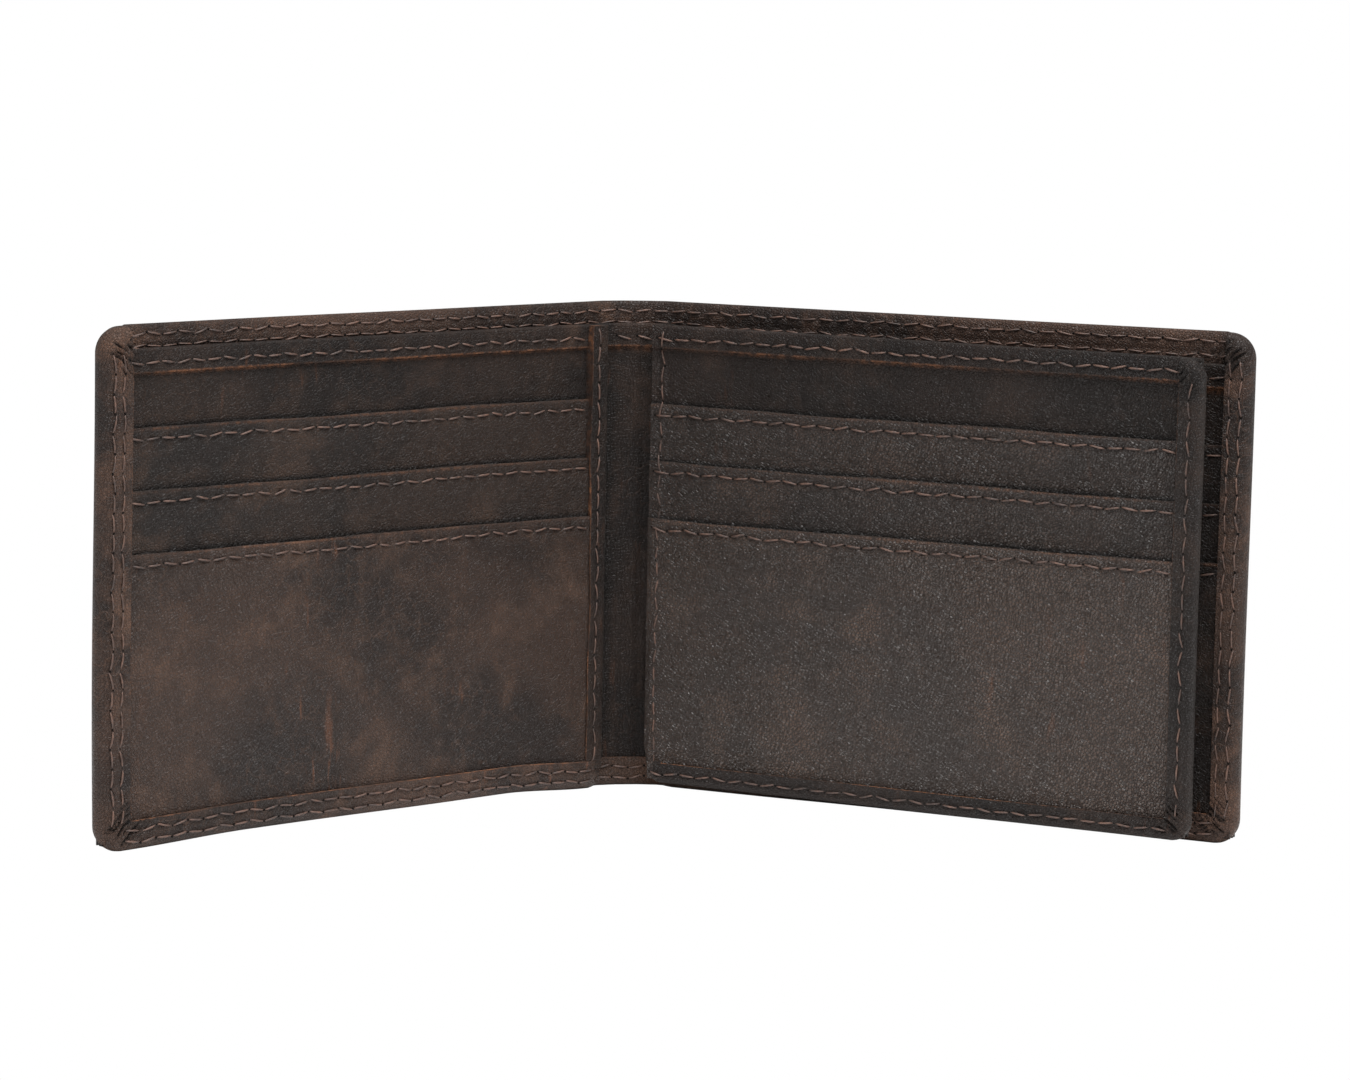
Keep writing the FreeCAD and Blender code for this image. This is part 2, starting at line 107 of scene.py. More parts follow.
def stand(flat, stiff=False):
    """Where leather drawn flat stands at rest, in metres.

    flat holds (along, -depth, up) in millimetres: along is measured over the leather from the
    middle of the spine, depth towards the inside.  A point turns by 23 degrees about its outer
    crease and then by 11 degrees about its inner crease, each turn growing smoothly over a zone.
    Stiff points take both turns in full, wherever they lie.
    """
    along, up = flat[..., 0], flat[..., 2]
    x, y = np.abs(along), flat[..., 1] - sag(along, up)
    for crease, turn, zone in ((OUTER_CREASE, OUTER_TURN, OUTER_ZONE),
                               (INNER_CREASE, INNER_TURN, INNER_ZONE)):
        angle = -turn * (1.0 if stiff else ramp((np.abs(along) - zone[0]) / (zone[1] - zone[0])))
        out = x - crease
        x = crease + out * np.cos(angle) - y * np.sin(angle)
        y = out * np.sin(angle) + y * np.cos(angle)
    return np.stack((np.where(along < 0, -x, x), SPINE_BACK + y, up + bow(along, up)), -1) * MM


def bend_at(obj):
    """The piece's transform, baked into its mesh."""
    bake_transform(obj)


def flat_mesh(points, faces, marks=None):
    """A closed bmesh in flat coordinates, its doubles merged and its faces turned outwards."""
    mesh = bpy.data.meshes.new("flat")
    mesh.from_pydata(points.tolist(), [], faces)
    # Two marks on every point: raw cut edges, and painted shade.
    for name in ("raw", "dark"):
        values = np.zeros(len(points), np.float32)
        if marks and name in marks:
            values[:] = marks[name]
        mesh.attributes.new(name, "FLOAT", "POINT").data.foreach_set("value", values)
    work = bmesh.new()
    work.from_mesh(mesh)
    bpy.data.meshes.remove(mesh)
    bmesh.ops.remove_doubles(work, verts=work.verts, dist=0.0005)
    bmesh.ops.dissolve_degenerate(work, dist=0.0005, edges=work.edges)
    bmesh.ops.recalc_face_normals(work, faces=work.faces)
    return work


def cut_out(work, low, high):
    """A copy of the flat mesh between two cuts across it, each cut closed with a face."""
    part = work.copy()
    for at, side in ((low, -1), (high, 1)):
        if at is None:
            continue
        cut = bmesh.ops.bisect_plane(
            part, geom=part.verts[:] + part.edges[:] + part.faces[:], dist=1e-5,
            plane_co=(at, 0, 0), plane_no=(side, 0, 0), clear_outer=True)
        edges = [item for item in cut["geom_cut"] if isinstance(item, bmesh.types.BMEdge)]
        bmesh.ops.holes_fill(part, edges=edges, sides=0)
    return part


def made(name, work, materials, place=stand, sharp=48.0):
    """The flat mesh as an object, its points placed where the leather stands."""
    mesh = bpy.data.meshes.new(name)
    work.to_mesh(mesh)
    work.free()
    flat = np.empty(len(mesh.vertices) * 3)
    mesh.vertices.foreach_get("co", flat)
    mesh.vertices.foreach_set("co", place(flat.reshape(-1, 3)).ravel())
    mesh.polygons.foreach_set("use_smooth", np.ones(len(mesh.polygons), bool))
    mesh.set_sharp_from_angle(angle=math.radians(sharp))
    for material in materials if isinstance(materials, (list, tuple)) else [materials]:
        mesh.materials.append(material)
    mesh.update()
    obj = bpy.data.objects.new(name, mesh)
    bpy.context.scene.collection.objects.link(obj)
    return obj


def quads(index):
    """Quads between neighbouring points of a grid of point numbers."""
    return np.stack((index[:-1, :-1], index[1:, :-1], index[1:, 1:], index[:-1, 1:]),
                    -1).reshape(-1, 4).tolist()


def sheet_faces(rows, columns, start=0, ring=False):
    """Faces of a rows by columns grid; ring joins the last row to the first."""
    index = start + np.arange(rows * columns).reshape(rows, columns)
    return quads(np.vstack((index, index[:1])) if ring else index)


def tube_faces(stations, ring):
    """Faces of a closed section carried along its stations, with both ends closed."""
    index = np.arange(stations * ring).reshape(stations, ring)
    return quads(np.hstack((index, index[:, :1]))) + [index[0].tolist(), index[-1].tolist()]


def spaced(length, fine, coarse, border):
    """Places from 0 to 1 along a side, close together near both ends."""
    near = np.arange(0.0, border, fine)
    far = np.linspace(border, length - border, max(2, int((length - 2 * border) / coarse)))
    return np.concatenate((near, far, length - near[::-1])) / length


def outline_stations(length, height):
    """Stations round the outline: place between the corners, -1 to 1, and outward turn."""
    level, upright = spaced(length, 0.4, 1.3, 9.0), spaced(height, 0.4, 1.3, 9.0)
    turn = np.linspace(0.0, math.pi / 2, 22)[1:-1]
    runs = []
    for side in range(4):
        t = 2.0 * (level if side % 2 == 0 else upright) - 1.0
        one = np.ones_like(t)
        heading = (side - 1) * math.pi / 2
        corner_x, corner_z = ((t, -one), (one, t), (-t, one), (-one, -t))[side]
        runs.append(np.stack((corner_x, corner_z, heading * one)))
        flat = np.ones_like(turn)
        runs.append(np.stack((corner_x[-1] * flat, corner_z[-1] * flat, heading + turn)))
    return np.hstack(runs), 2.0 * level - 1.0, 2.0 * upright - 1.0


def turned_sheet(box, radius, widths, front_at, back, inner, hem_at, roll, relief, rear_relief):
    """Leather turned over all round its outline, as flat points, faces and marks.

    Every ring is a rectangle with round corners, set in from the outline.  Its reach is 0 at the
    outline, 1 where the corners have become square, 2 at the cut edge of the hem.  The rings run
    from the outer face, round the fold (half an ellipse), over the hem and its cut edge, and back
    under it to the inner face.  Two grids close the outer and the inner face.
    """
    low_x, high_x, low_z, high_z = box
    stations, level, upright = outline_stations(high_x - low_x, high_z - low_z)
    corner_x, corner_z, heading = stations[:, :, None]
    inset_of = {key: lambda reach, width=width: np.where(
        reach <= 1, reach * radius, radius + (reach - 1) * (width - radius))
        for key, width in widths.items()}

    def ring_points(reach):
        inset = {key: np.maximum(rule(reach), radius) for key, rule in inset_of.items()}
        left, right = low_x + inset["left"], high_x - inset["right"]
        bottom, top = low_z + inset["bottom"], high_z - inset["top"]
        over = np.maximum(radius - np.minimum(reach, 1.0) * radius, 0.0)
        along = left + (right - left) * (corner_x + 1) / 2 + over * np.cos(heading)
        up = bottom + (top - bottom) * (corner_z + 1) / 2 + over * np.sin(heading)
        return along, up

    turn = np.linspace(-math.pi / 2, math.pi / 2, 11)
    first = roll / radius
    rear = np.linspace(2.0, first, 12)[:-1]
    fold = first * (1 - np.cos(turn))
    hem = np.concatenate((np.linspace(first, 1.0, 9)[1:], np.linspace(1.0, 1.96, 9)[1:]))
    under = np.array((2.0, 2.0, 1.9, first + 0.02, first + 0.02, 1.9, 2.0))
    reach = np.concatenate((rear, fold, hem, under))[None, :]
    along, up = ring_points(reach)
    front = front_at(along, up)
    thick = hem_at(along, up)
    # Round the fold the depth runs from the outer face to the hem's face.
    lift = np.concatenate((np.zeros(len(rear)), (1 + np.sin(turn)) / 2, np.ones(len(hem)),
                           np.ones(len(under))))[None, :]
    depth = back + (front - back) * lift
    near = len(rear) + len(fold) + len(hem)
    depth[:, near] -= 0.18
    depth[:, near + 1] -= thick[:, near + 1] - 0.1
    depth[:, near + 2:near + 4] = (front - thick)[:, near + 2:near + 4]
    depth[:, near + 4:] = inner
    on_hem = np.concatenate((np.zeros(len(rear)), ramp(turn / 1.2), np.ones(len(hem) + 2),
                             np.zeros(len(under) - 2)))[None, :]
    bump, dark = relief(along, up)
    depth = depth + on_hem * bump
    depth[:, :len(rear)] -= rear_relief(along, up)[:, :len(rear)]
    raw = np.zeros(reach.shape[1])
    raw[near - 1:near + 3] = (0.55, 1.0, 1.0, 0.6)
    # The relief's second value is painted shade, kept to the hem.
    marks = {"raw": np.broadcast_to(raw, along.shape).ravel(), "dark": (on_hem * dark).ravel()}
    points = np.stack((along, -depth, up), -1).reshape(-1, 3)
    count, rings = along.shape
    faces = sheet_faces(count, rings, ring=True)
    left, right = low_x + widths["left"], high_x - widths["right"]
    bottom, top = low_z + widths["bottom"], high_z - widths["top"]
    x = left + (right - left) * (level + 1) / 2
    z = bottom + (top - bottom) * (upright + 1) / 2
    grid_x, grid_z = np.meshgrid(x, z, indexing="ij")
    for at, sign in ((back, 1), (inner, 0)):
        plate = np.stack((grid_x, -(at - sign * rear_relief(grid_x, grid_z)), grid_z), -1)
        faces += sheet_faces(len(x), len(z), start=len(points))
        points = np.vstack((points, plate.reshape(-1, 3)))
    for name in marks:
        marks[name] = np.concatenate((marks[name], np.zeros(len(points) - len(marks[name]))))
    return points, faces, marks


def groove(across, along, width, start, end, depth):
    """A slit: a bell of the given width across, fading in and out along its length."""
    return depth * np.exp(-(across / width) ** 2) * ramp((along - start) / 0.8) * ramp(
        (end - along) / 0.8)


def pleats(along, up, box, rng, amount=1.0):
    """Pinched corners: pleats and slits that lie along each corner's diagonal, and painted shade in
    them.
    """
    low_x, high_x, low_z, high_z = box
    total, shade = np.zeros_like(along), np.zeros_like(along)
    for out, rise in ((along - low_x, up - low_z), (high_x - along, up - low_z),
                      (along - low_x, high_z - up), (high_x - along, high_z - up)):
        across, inward = (out - rise) / math.sqrt(2), (out + rise) / math.sqrt(2)
        close = ramp((11.5 - inward) / 3.0) * ramp((4.2 - np.abs(across)) / 1.2) * ramp(
            (inward - 2.7) / 2.0)
        fan = across * (1 + 0.05 * inward) + 0.25 * np.sin(inward * 1.1 + rng.uniform(0, 6))
        wave = (fan / 1.25 + rng.uniform()) % 1.0
        total += amount * close * 0.34 * (ramp(wave / 0.8) * ramp((1 - wave) / 0.22) - 0.4)
        # Painted shade at the drop of each pleat, and further on in the slits.
        shade += close * 0.75 * np.exp(-((wave - 0.02) / 0.09) ** 2)
        for place in np.linspace(-2.6, 2.6, 5) + rng.uniform(-0.35, 0.35, 5):
            start = rng.uniform(2.6, 5.0)
            slit = groove(fan - place, inward, 0.20, start, start + rng.uniform(2.0, 4.6), 1.0)
            total -= 0.55 * amount * slit
            shade += slit
        slit = groove(across - rng.uniform(-0.5, 0.5), inward, 0.30, 6.6, 10.6, 1.0)
        total -= 0.8 * amount * slit
        shade += 1.2 * slit
    return total, np.clip(shade, 0, 1)


PITCH = 3.3


def rows_pull(inset, run, rows):
    """The leather pulled down along rows of sewing, deepest where the thread goes through."""
    total = np.zeros_like(inset)
    for row in rows:
        pull = 0.13 + 0.06 * np.cos(2 * math.pi * run / PITCH)
        total -= pull * np.exp(-((inset - row) / 0.55) ** 2)
    return total


def row_height(along, row):
    """Height of a row of the top hem; the lower one drops a little over the right half."""
    return HEIGHT - row - (0.5 if row > 3 else 0.0) * ramp((along - 8.0) / 10.0)


def cover_inset(along, up):
    """Distance in from the outline, and the run along it."""
    side, level = COVER_END - np.abs(along), np.minimum(up, HEIGHT - up)
    return np.minimum(side, level), np.where(side < level, up, along)


def cover_hem_front(along, up):
    """Depth of the hem's face: over the pockets at the halves, low across the spine and on top."""
    side = np.where(along < 0, SIDE_FRONT[-1], SIDE_FRONT[1])
    bottom = SPINE_FRONT + (side - SPINE_FRONT) * ramp((np.abs(along) - 6.4) / 3.4)
    width = np.where(along < 0, HEM_WIDTH["left"], HEM_WIDTH["right"])
    top = TOP_FRONT + (side - TOP_FRONT) * ramp((np.abs(along) - (COVER_END - width - 0.9)) / 1.0)
    return bottom + (top - bottom) * ramp((up - HEIGHT + TOP_BAND) / 1.5)


def hem_thickness(along, up):
    """The turned leather is skived thinner along the top."""
    return np.where(up > HEIGHT - TOP_BAND, TOP_HEM, HEM)


def cover_relief(along, up):
    """Pleated corners, rows pulled down by the thread, and upright puckers along the top hem."""
    box = (-COVER_END, COVER_END, 0.0, HEIGHT)
    bump, dark = pleats(along, up, box, np.random.default_rng(11))
    inset, run = cover_inset(along, up)
    bump = bump + rows_pull(inset, run, COVER_ROWS)
    bump += 0.05 * np.sin(run * 1.7) * np.sin(run * 0.61 + inset)
    on_top = ramp((up - HEIGHT + TOP_BAND) / 2.0)
    tight = 0.4 * np.exp(-(along / 16.0) ** 2) + np.exp(-((along - 30.0) / 19.0) ** 2)
    pucker = np.cos(2 * math.pi * along / PITCH + 0.8 * np.sin(along / 5.0))
    pucker += 0.5 * np.sin(along * 2.9)
    bump += 0.16 * tight * on_top * pucker
    # The second value is painted shade in the pleats, the slits and the pucker hollows.
    return bump, np.clip(dark + 0.35 * tight * on_top * ramp(-pucker), 0, 1)


def cover_rear_relief(along, up):
    """The outer face: pulled in along the sewing, with soft pull marks over the creases."""
    inset, run = cover_inset(along, up)
    crease = np.exp(-((np.abs(along) - OUTER_CREASE) / 1.6) ** 2)
    marks = 0.10 * crease * np.sin(up / 2.3 + 2 * np.sin(up / 7.0))
    return rows_pull(inset, run, COVER_ROWS) + marks


class Finish:
    """A material under construction: its node tree, and short ways to add the nodes it needs."""

    def __init__(self, name, seed=0.0):
        self.material = bpy.data.materials.new(name)
        self.material.use_nodes = True
        self.tree = self.material.node_tree
        self.tree.nodes.clear()
        self.where = self.add("TexCoord").outputs["Object"]
        if seed:
            shift = (seed, seed * 0.7, seed * 0.3)
            self.where = self.add("Mapping", {"Vector": self.where, "Location": shift}).outputs[0]

    def add(self, kind, inputs=None, **settings):
        """A node with its settings, and with values or other nodes' sockets on its inputs."""
        node = self.tree.nodes.new("ShaderNode" + kind)
        for name, value in settings.items():
            setattr(node, name, value)
        for name, value in (inputs or {}).items():
            if isinstance(value, bpy.types.NodeSocket):
                self.tree.links.new(value, node.inputs[name])
            else:
                node.inputs[name].default_value = value
        return node

    def noise(self, scale, detail=3.0, rough=0.55, vector=None, distortion=0.0):
        return self.add("TexNoise", {
            "Vector": vector or self.where, "Scale": scale, "Detail": detail, "Roughness": rough,
            "Distortion": distortion}).outputs["Fac"]

    def span(self, value, low, high, start=0.0, end=1.0):
        """value eased from start to end as it goes from low to high."""
        return self.add("MapRange", {
            "Value": value, "From Min": low, "From Max": high, "To Min": start, "To Max": end},
            interpolation_type="SMOOTHSTEP").outputs[0]

    def times(self, first, second):
        return self.add("Math", {0: first, 1: second}, operation="MULTIPLY").outputs[0]

    def plus(self, first, second):
        return self.add("Math", {0: first, 1: second}, operation="ADD").outputs[0]

    def mix(self, amount, first, second):
        """The first colour where amount is 0, the second where it is 1."""
        return self.add("Mix", {0: amount, 6: first, 7: second}, data_type="RGBA").outputs[2]

    def bump(self, height, strength, distance):
        return self.add("Bump", {"Height": height, "Strength": strength,
                                 "Distance": distance}).outputs[0]

    def done(self, shader):
        """The finished material, with the shader on its surface."""
        out = self.tree.nodes.new("ShaderNodeOutputMaterial")
        self.tree.links.new(shader.outputs[0], out.inputs["Surface"])
        return self.material


def leather(name, base, glow, deep, pebble=1.0, shine=0.42, seed=0.0, scuffs=1.0, gloss=0.17):
    """Waxed leather: pebble grain, pull-up clouds, scuffs, fine creases, rusty cut edges and
    painted shade.

    base, glow and deep are its middle, rubbed and darkest colour.
    """
    finish = Finish(name, seed)
    noise, span, times, mix = finish.noise, finish.span, finish.times, finish.mix
    raw = finish.add("Attribute", attribute_name="raw").outputs["Fac"]
    dark = finish.add("Attribute", attribute_name="dark").outputs["Fac"]

    def cell_edges(vector, scale):
        return finish.add("TexVoronoi", {"Vector": vector, "Scale": scale},
                          feature="DISTANCE_TO_EDGE").outputs["Distance"]

    pebbles = span(cell_edges(finish.where, 1900.0), 0.0, 0.22)
    fine = noise(4200.0, 2.0)
    warp = finish.add("TexNoise", {"Vector": finish.where, "Scale": 260.0, "Detail": 2.0})
    push = finish.add("VectorMath", {0: warp.outputs["Color"], "Scale": 0.004}, operation="SCALE")
    drift = finish.add("VectorMath", {0: finish.where, 1: push.outputs[0]}, operation="ADD")
    creased = times(span(cell_edges(drift.outputs[0], 330.0), 0.0, 0.05, 1.0, 0.0),
                    span(noise(38.0), 0.45, 0.62))
    clouds = noise(26.0, 4.0, 0.6)
    patches = noise(70.0, 5.0, 0.62, distortion=0.4)
    streaks = finish.add("Mapping", {"Vector": finish.where, "Rotation": (0.0, 0.6, 0.3),
                                     "Scale": (1.0, 1.0, 0.16)}).outputs[0]
    scratch = noise(420.0, 3.0, 0.7, vector=streaks)

    colour = mix(span(clouds, 0.40, 0.60), deep, base)
    colour = mix(times(span(patches, 0.50, 0.74), 0.85), colour, glow)
    colour = mix(span(noise(230.0, 4.0, 0.65), 0.50, 0.75, 0.0, 0.35), colour, glow)
    colour = mix(span(pebbles, 0.0, 1.0, 0.50 * pebble, 0.0), colour, deep)
    rubbed = times(span(scratch, 0.58, 0.76), span(noise(33.0, 3.0), 0.50, 0.66))
    colour = mix(times(rubbed, 0.55 * scuffs), colour, RUST)
    colour = mix(times(creased, 0.28), colour, glow)
    edge = mix(span(noise(900.0, 3.0), 0.35, 0.65), *CUT_EDGE)
    frayed = times(raw, span(noise(45.0, 2.0), 0.42, 0.60, 0.25, 1.0))
    # Painted shade: the shade mark takes the colour towards near black.
    colour = mix(dark, mix(frayed, colour, edge), PAINTED_SHADE_COLOUR)

    height = finish.plus(times(pebbles, 0.75 * pebble), times(fine, 0.10))
    height = finish.plus(height, times(creased, -0.35))
    height = finish.plus(height, times(noise(420.0, 2.0), 0.8))
    rough = span(finish.plus(times(patches, 0.7), times(fine, 0.3)), 0.3, 0.75, shine,
                 shine + 0.20)
    shader = finish.add("BsdfPrincipled", {
        "Base Color": colour, "Roughness": finish.plus(rough, times(raw, 0.3)),
        "Normal": finish.bump(height, 0.9, 0.00021)})
    shader.inputs["Specular IOR Level"].default_value = gloss
    shader.inputs["Sheen Weight"].default_value = 0.03
    shader.inputs["Sheen Roughness"].default_value = 0.45
    shader.inputs["Sheen Tint"].default_value = (0.80, 0.72, 0.68, 1.0)
    return finish.done(shader)


RUST = (0.135, 0.052, 0.024, 1.0)
CUT_EDGE = ((0.030, 0.014, 0.009, 1.0), (0.150, 0.060, 0.026, 1.0))
# Near black, for painted shade in hollows, slits and under the mouths.
PAINTED_SHADE_COLOUR = (0.0025, 0.0018, 0.0015, 1.0)
cover_finish = leather("cover_leather", (0.034, 0.0185, 0.0125, 1), (0.078, 0.041, 0.026, 1),
                       (0.0090, 0.0052, 0.0038, 1), pebble=0.9, shine=0.42, seed=0.13)

STRIP_CUT = 4.0
CUTS = (("left_half", None, -STRIP_CUT, "left_fold", ("left",)),
        ("spine_left_side", -STRIP_CUT, 0.0, "left_bend", ("spine_left", "spine_mid")),
        ("spine_right_side", 0.0, STRIP_CUT, "right_bend", ("spine_right",)),
        ("right_half", STRIP_CUT, None, "right_fold", ("right",)))


def over_the_spine(name, work, finish, nodes):
    """A flat mesh over both halves, cut into four pieces that each bend across one crease."""
    for part, low, high, crease, sides in CUTS:
        obj = made("%s_%s" % (name, part), cut_out(work, low, high), finish)
        bend_at(obj)
        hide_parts(*["%s_%s" % (nodes, side) for side in sides])
    work.free()


over_the_spine("cover", flat_mesh(*turned_sheet(
    (-COVER_END, COVER_END, 0.0, HEIGHT), CORNER, HEM_WIDTH, cover_hem_front, COVER_BACK,
    COVER_FRONT, hem_thickness, 2.3, cover_relief, cover_rear_relief)),
    cover_finish, "cover")


# ---- The note compartment's lining
# A thin twill cloth glued to the inside of the cover, under the turned edges.
def carried(section, stations):
    """A closed section of (depth, up) points carried along the leather, as flat points and faces.

    section(along) gives arrays of depth and up, one row per station; both ends are closed.
    """
    depth, up = section(stations[:, None])
    along = np.broadcast_to(stations[:, None], depth.shape)
    return np.stack((along, -depth, up), -1).reshape(-1, 3), tube_faces(*depth.shape)


def both_halves(spacings):
    """Stations over the whole leather: so many on the left half, the spine and the right half."""
    return np.unique(np.concatenate((
        np.linspace(-COVER_END + TUCK, -SPINE_END, spacings[0]),
        np.linspace(-SPINE_END, SPINE_END, spacings[1]),
        np.linspace(SPINE_END, COVER_END - TUCK, spacings[2]))))


def twill(name, light, shade):
    """Lining cloth: fine diagonal ribs, drawn on Object coordinates."""
    finish = Finish(name)
    turned = finish.add("Mapping", {"Vector": finish.where,
                                    "Rotation": (0.0, math.radians(45), 0.0)}).outputs[0]
    ribs = finish.add("TexWave", {"Vector": turned, "Scale": 620.0, "Distortion": 0.6,
                                  "Detail": 2.0}, bands_direction="X").outputs["Fac"]
    soil = finish.noise(60.0, 4.0, 0.5)
    shader = finish.add("BsdfPrincipled", {
        "Base Color": finish.mix(finish.times(ribs, soil), shade, light),
        "Normal": finish.bump(ribs, 0.4, 0.0001), "Roughness": 0.85})
    shader.inputs["Sheen Weight"].default_value = 0.3
    return finish.done(shader)


lining_finish = twill("lining_twill", (0.045, 0.032, 0.026, 1), (0.014, 0.010, 0.009, 1))
TUCK = 1.2
SPINE_END = 9.0
LINING_FRONT = -0.2
CLEAR = 0.02


def lining_section(along):
    """A thin plate, up to the lower edge of the top hem."""
    one = np.ones_like(along)
    up = np.linspace(TUCK, HEIGHT - HEM_WIDTH["top"], 40)
    ups = np.concatenate((up, up[::-1]))
    depth = np.concatenate((np.full_like(up, COVER_FRONT + CLEAR), np.full_like(up, LINING_FRONT)))
    return one * depth, one * ups


over_the_spine("lining", flat_mesh(*carried(lining_section, both_halves((60, 37, 60)))),
               lining_finish, "note_lining")


# ---- The note compartment's front wall
# Thinner leather across both halves and the spine, its top edge turned to the front and sewn.
# It shows between the halves, where it wrinkles every time the wallet is closed.
WALL_TOP = HEIGHT - 4.0
RIGHT_WALL_DROP = 1.6
WALL_BACK, WALL_FRONT = 0.4, 0.9
STRIP_WIDTH, STRIP_ROW = 4.2, 2.5
LAYER = 0.5


def wall_drop(along):
    """The wall's top edge runs a little lower over the right half."""
    return RIGHT_WALL_DROP * ramp((along - OUTER_CREASE - 1.0) / 9.0)


def wall_section(along):
    """Plate with a turned strip at the top; the strip is flattened behind the left card panel."""
    one = np.ones_like(along)
    thick = 0.02 + 0.43 * ramp((along + 8.0) / 1.6)
    wrinkle = np.exp(-(along / 5.0) ** 2)
    turn = np.linspace(0.0, math.pi, 9)
    up = np.linspace(TUCK, WALL_TOP - 0.6, 46)
    front = WALL_FRONT + thick
    middle, half = (WALL_BACK + front) / 2, (front - WALL_BACK) / 2
    strip_up = np.linspace(WALL_TOP - 0.9, WALL_TOP - STRIP_WIDTH, 9)
    down = np.linspace(WALL_TOP - STRIP_WIDTH - 0.05, TUCK, 60)
    ups = np.concatenate((up, WALL_TOP - 0.5 + 0.5 * np.sin(turn), strip_up, down))
    face = WALL_FRONT + wrinkle * (
        0.07 * np.sin(along * 2.3 + 0.9 * np.sin(down / 11.0) + 0.6)
        + 0.05 * np.sin(along * 5.1 + down / 3.4) * np.sin(down / 6.1 + along))
    depth = np.concatenate((one * np.full_like(up, WALL_BACK), middle - half * np.cos(turn),
                            front * np.ones_like(strip_up), face), axis=1)
    strip_area = (ups > WALL_TOP - STRIP_WIDTH - 0.02) & (np.arange(len(ups)) > len(up))
    depth = depth + strip_area * rows_pull(
        one * np.abs(ups - WALL_TOP + STRIP_ROW), along, (0.0,))
    return depth, ups - wall_drop(along) * ramp((ups - 60.0) / 12.0)


def marked(points, faces, **rules):
    """Points, faces, and the marks that the rules give at every point."""
    return points, faces, {name: rule(points) for name, rule in rules.items()}


def cut_edge(height, front):
    """A raw mark on the points near a height and in front of a depth."""
    def raw(points):
        level = height(points[:, 0]) if callable(height) else height
        return 0.8 * np.exp(-((points[:, 2] - level) / 0.08) ** 2) * (-points[:, 1] > front)
    return raw


def wall_strip_edge(along):
    """Height of the lower edge of the wall's turned strip."""
    return WALL_TOP - STRIP_WIDTH - wall_drop(along)


def wall_shade(points):
    """Painted shade on the wall beside the halves and under the turned strip."""
    out = np.abs(points[:, 0])
    beside = ramp((out - 2.6) / 2.6) * (out < SPINE_END)
    below = ramp((points[:, 2] - (WALL_TOP - STRIP_WIDTH - 1.6)) / 1.4) * (
        points[:, 2] < wall_strip_edge(points[:, 0]) - 0.06)
    return 0.62 * np.maximum(beside, 0.6 * below) * (-points[:, 1] > WALL_FRONT - 0.3)


inner_finish = leather("inner_leather", (0.0135, 0.0080, 0.0058, 1), (0.034, 0.019, 0.0125, 1),
                       (0.0048, 0.0030, 0.0024, 1), pebble=0.8, shine=0.42, seed=0.41, gloss=0.14)
over_the_spine("wall", flat_mesh(*marked(
    *carried(wall_section, both_halves((100, 73, 130))),
    raw=cut_edge(wall_strip_edge, WALL_FRONT - 0.2), dark=wall_shade)),
    inner_finish, "inner_wall")


# ---- The left card panel
# A leather plate over the whole left half.  Its top edge is turned down over its front, and its
# spine-side edge is turned back over the ends of the three card pockets and sewn through them.
PANEL_FRONT = WALL_FRONT + LAYER
HALF_START = OUTER_CREASE + 0.8
HALF_TUCKED = COVER_END - TUCK
EDGE_STRIP, EDGE_ROW = 4.7, 3.0
EDGE_FRONT = 3.4
LEFT_LIPS = (72.5, 61.7, 50.9)


def plate_section(back, front, bottom, top, lip):
    """Section rule of a plate whose top edge is turned down over its front and sewn.

    Round the top the depth goes by a cosine; the points crowd where the first mouth stands off.
    """
    strip_front = front + LAYER

    def section(along):
        one = np.ones_like(along)
        turn = np.linspace(0.0, math.pi, 9)
        up = np.linspace(bottom, top - 0.5, 24)
        strip_up = np.linspace(top - 0.8, top - STRIP_WIDTH, 10)
        down = np.concatenate((np.linspace(top - STRIP_WIDTH - 0.05, lip + 1.2, 14),
                               np.linspace(lip + 1.0, lip - 1.0, 9),
                               np.linspace(lip - 1.5, bottom, 37)))
        middle, half = (back + strip_front) / 2, (strip_front - back) / 2
        ups = np.concatenate((up, top - 0.45 + 0.45 * np.sin(turn), strip_up, down))
        depth = one * np.concatenate((
            np.full_like(up, back), middle - half * np.cos(turn),
            np.full_like(strip_up, strip_front), np.full_like(down, front)))
        past_fold = np.arange(len(ups)) >= len(up) + 6
        depth = depth + (past_fold & (ups > top - STRIP_WIDTH - 0.02)) * rows_pull(
            one * np.abs(ups - top + STRIP_ROW), along, (0.0,))
        return depth, one * ups
    return section


def upright_fold(outer, width, back, front, low, high, side):
    """An edge folded round an upright line: a section of (along, depth) carried up the leather."""
    turn = np.linspace(0.0, math.pi, 11)
    middle, half = (back + front) / 2, (front - back) / 2
    reach = min(half, 1.1)
    flat_out = np.linspace(outer + width, outer + reach, 8)
    along = np.concatenate((flat_out, outer + reach - reach * np.sin(turn), flat_out[:0:-1],
                            [outer + width - 0.18], [outer + width], [outer + width - 0.3]))
    depth = np.concatenate((np.full_like(flat_out, back), middle - half * np.cos(turn),
                            np.full_like(flat_out, front), [front - 0.12], [front - 0.5]))
    up = np.linspace(low, high, 90)[:, None]
    row = outer + EDGE_ROW
    one = np.ones_like(up)
    bend = 0.16 * np.sin(up / 8.0) + 0.10 * np.sin(up / 3.1)
    cut = np.exp(-((along - outer - width) / 1.2) ** 2)
    a = one * along + bend * cut
    d = one * depth
    facing = np.arange(len(along)) >= len(flat_out) + 7
    d = d + facing * rows_pull(np.abs(a - row), up, (0.0,))
    points = np.stack((side * a, -d, up + 0 * a), -1).reshape(-1, 3)
    raw = np.broadcast_to(np.where(np.arange(len(along)) >= len(along) - 2, 0.9, 0.0), a.shape)
    return points, tube_faces(*a.shape), {"raw": raw.ravel()}


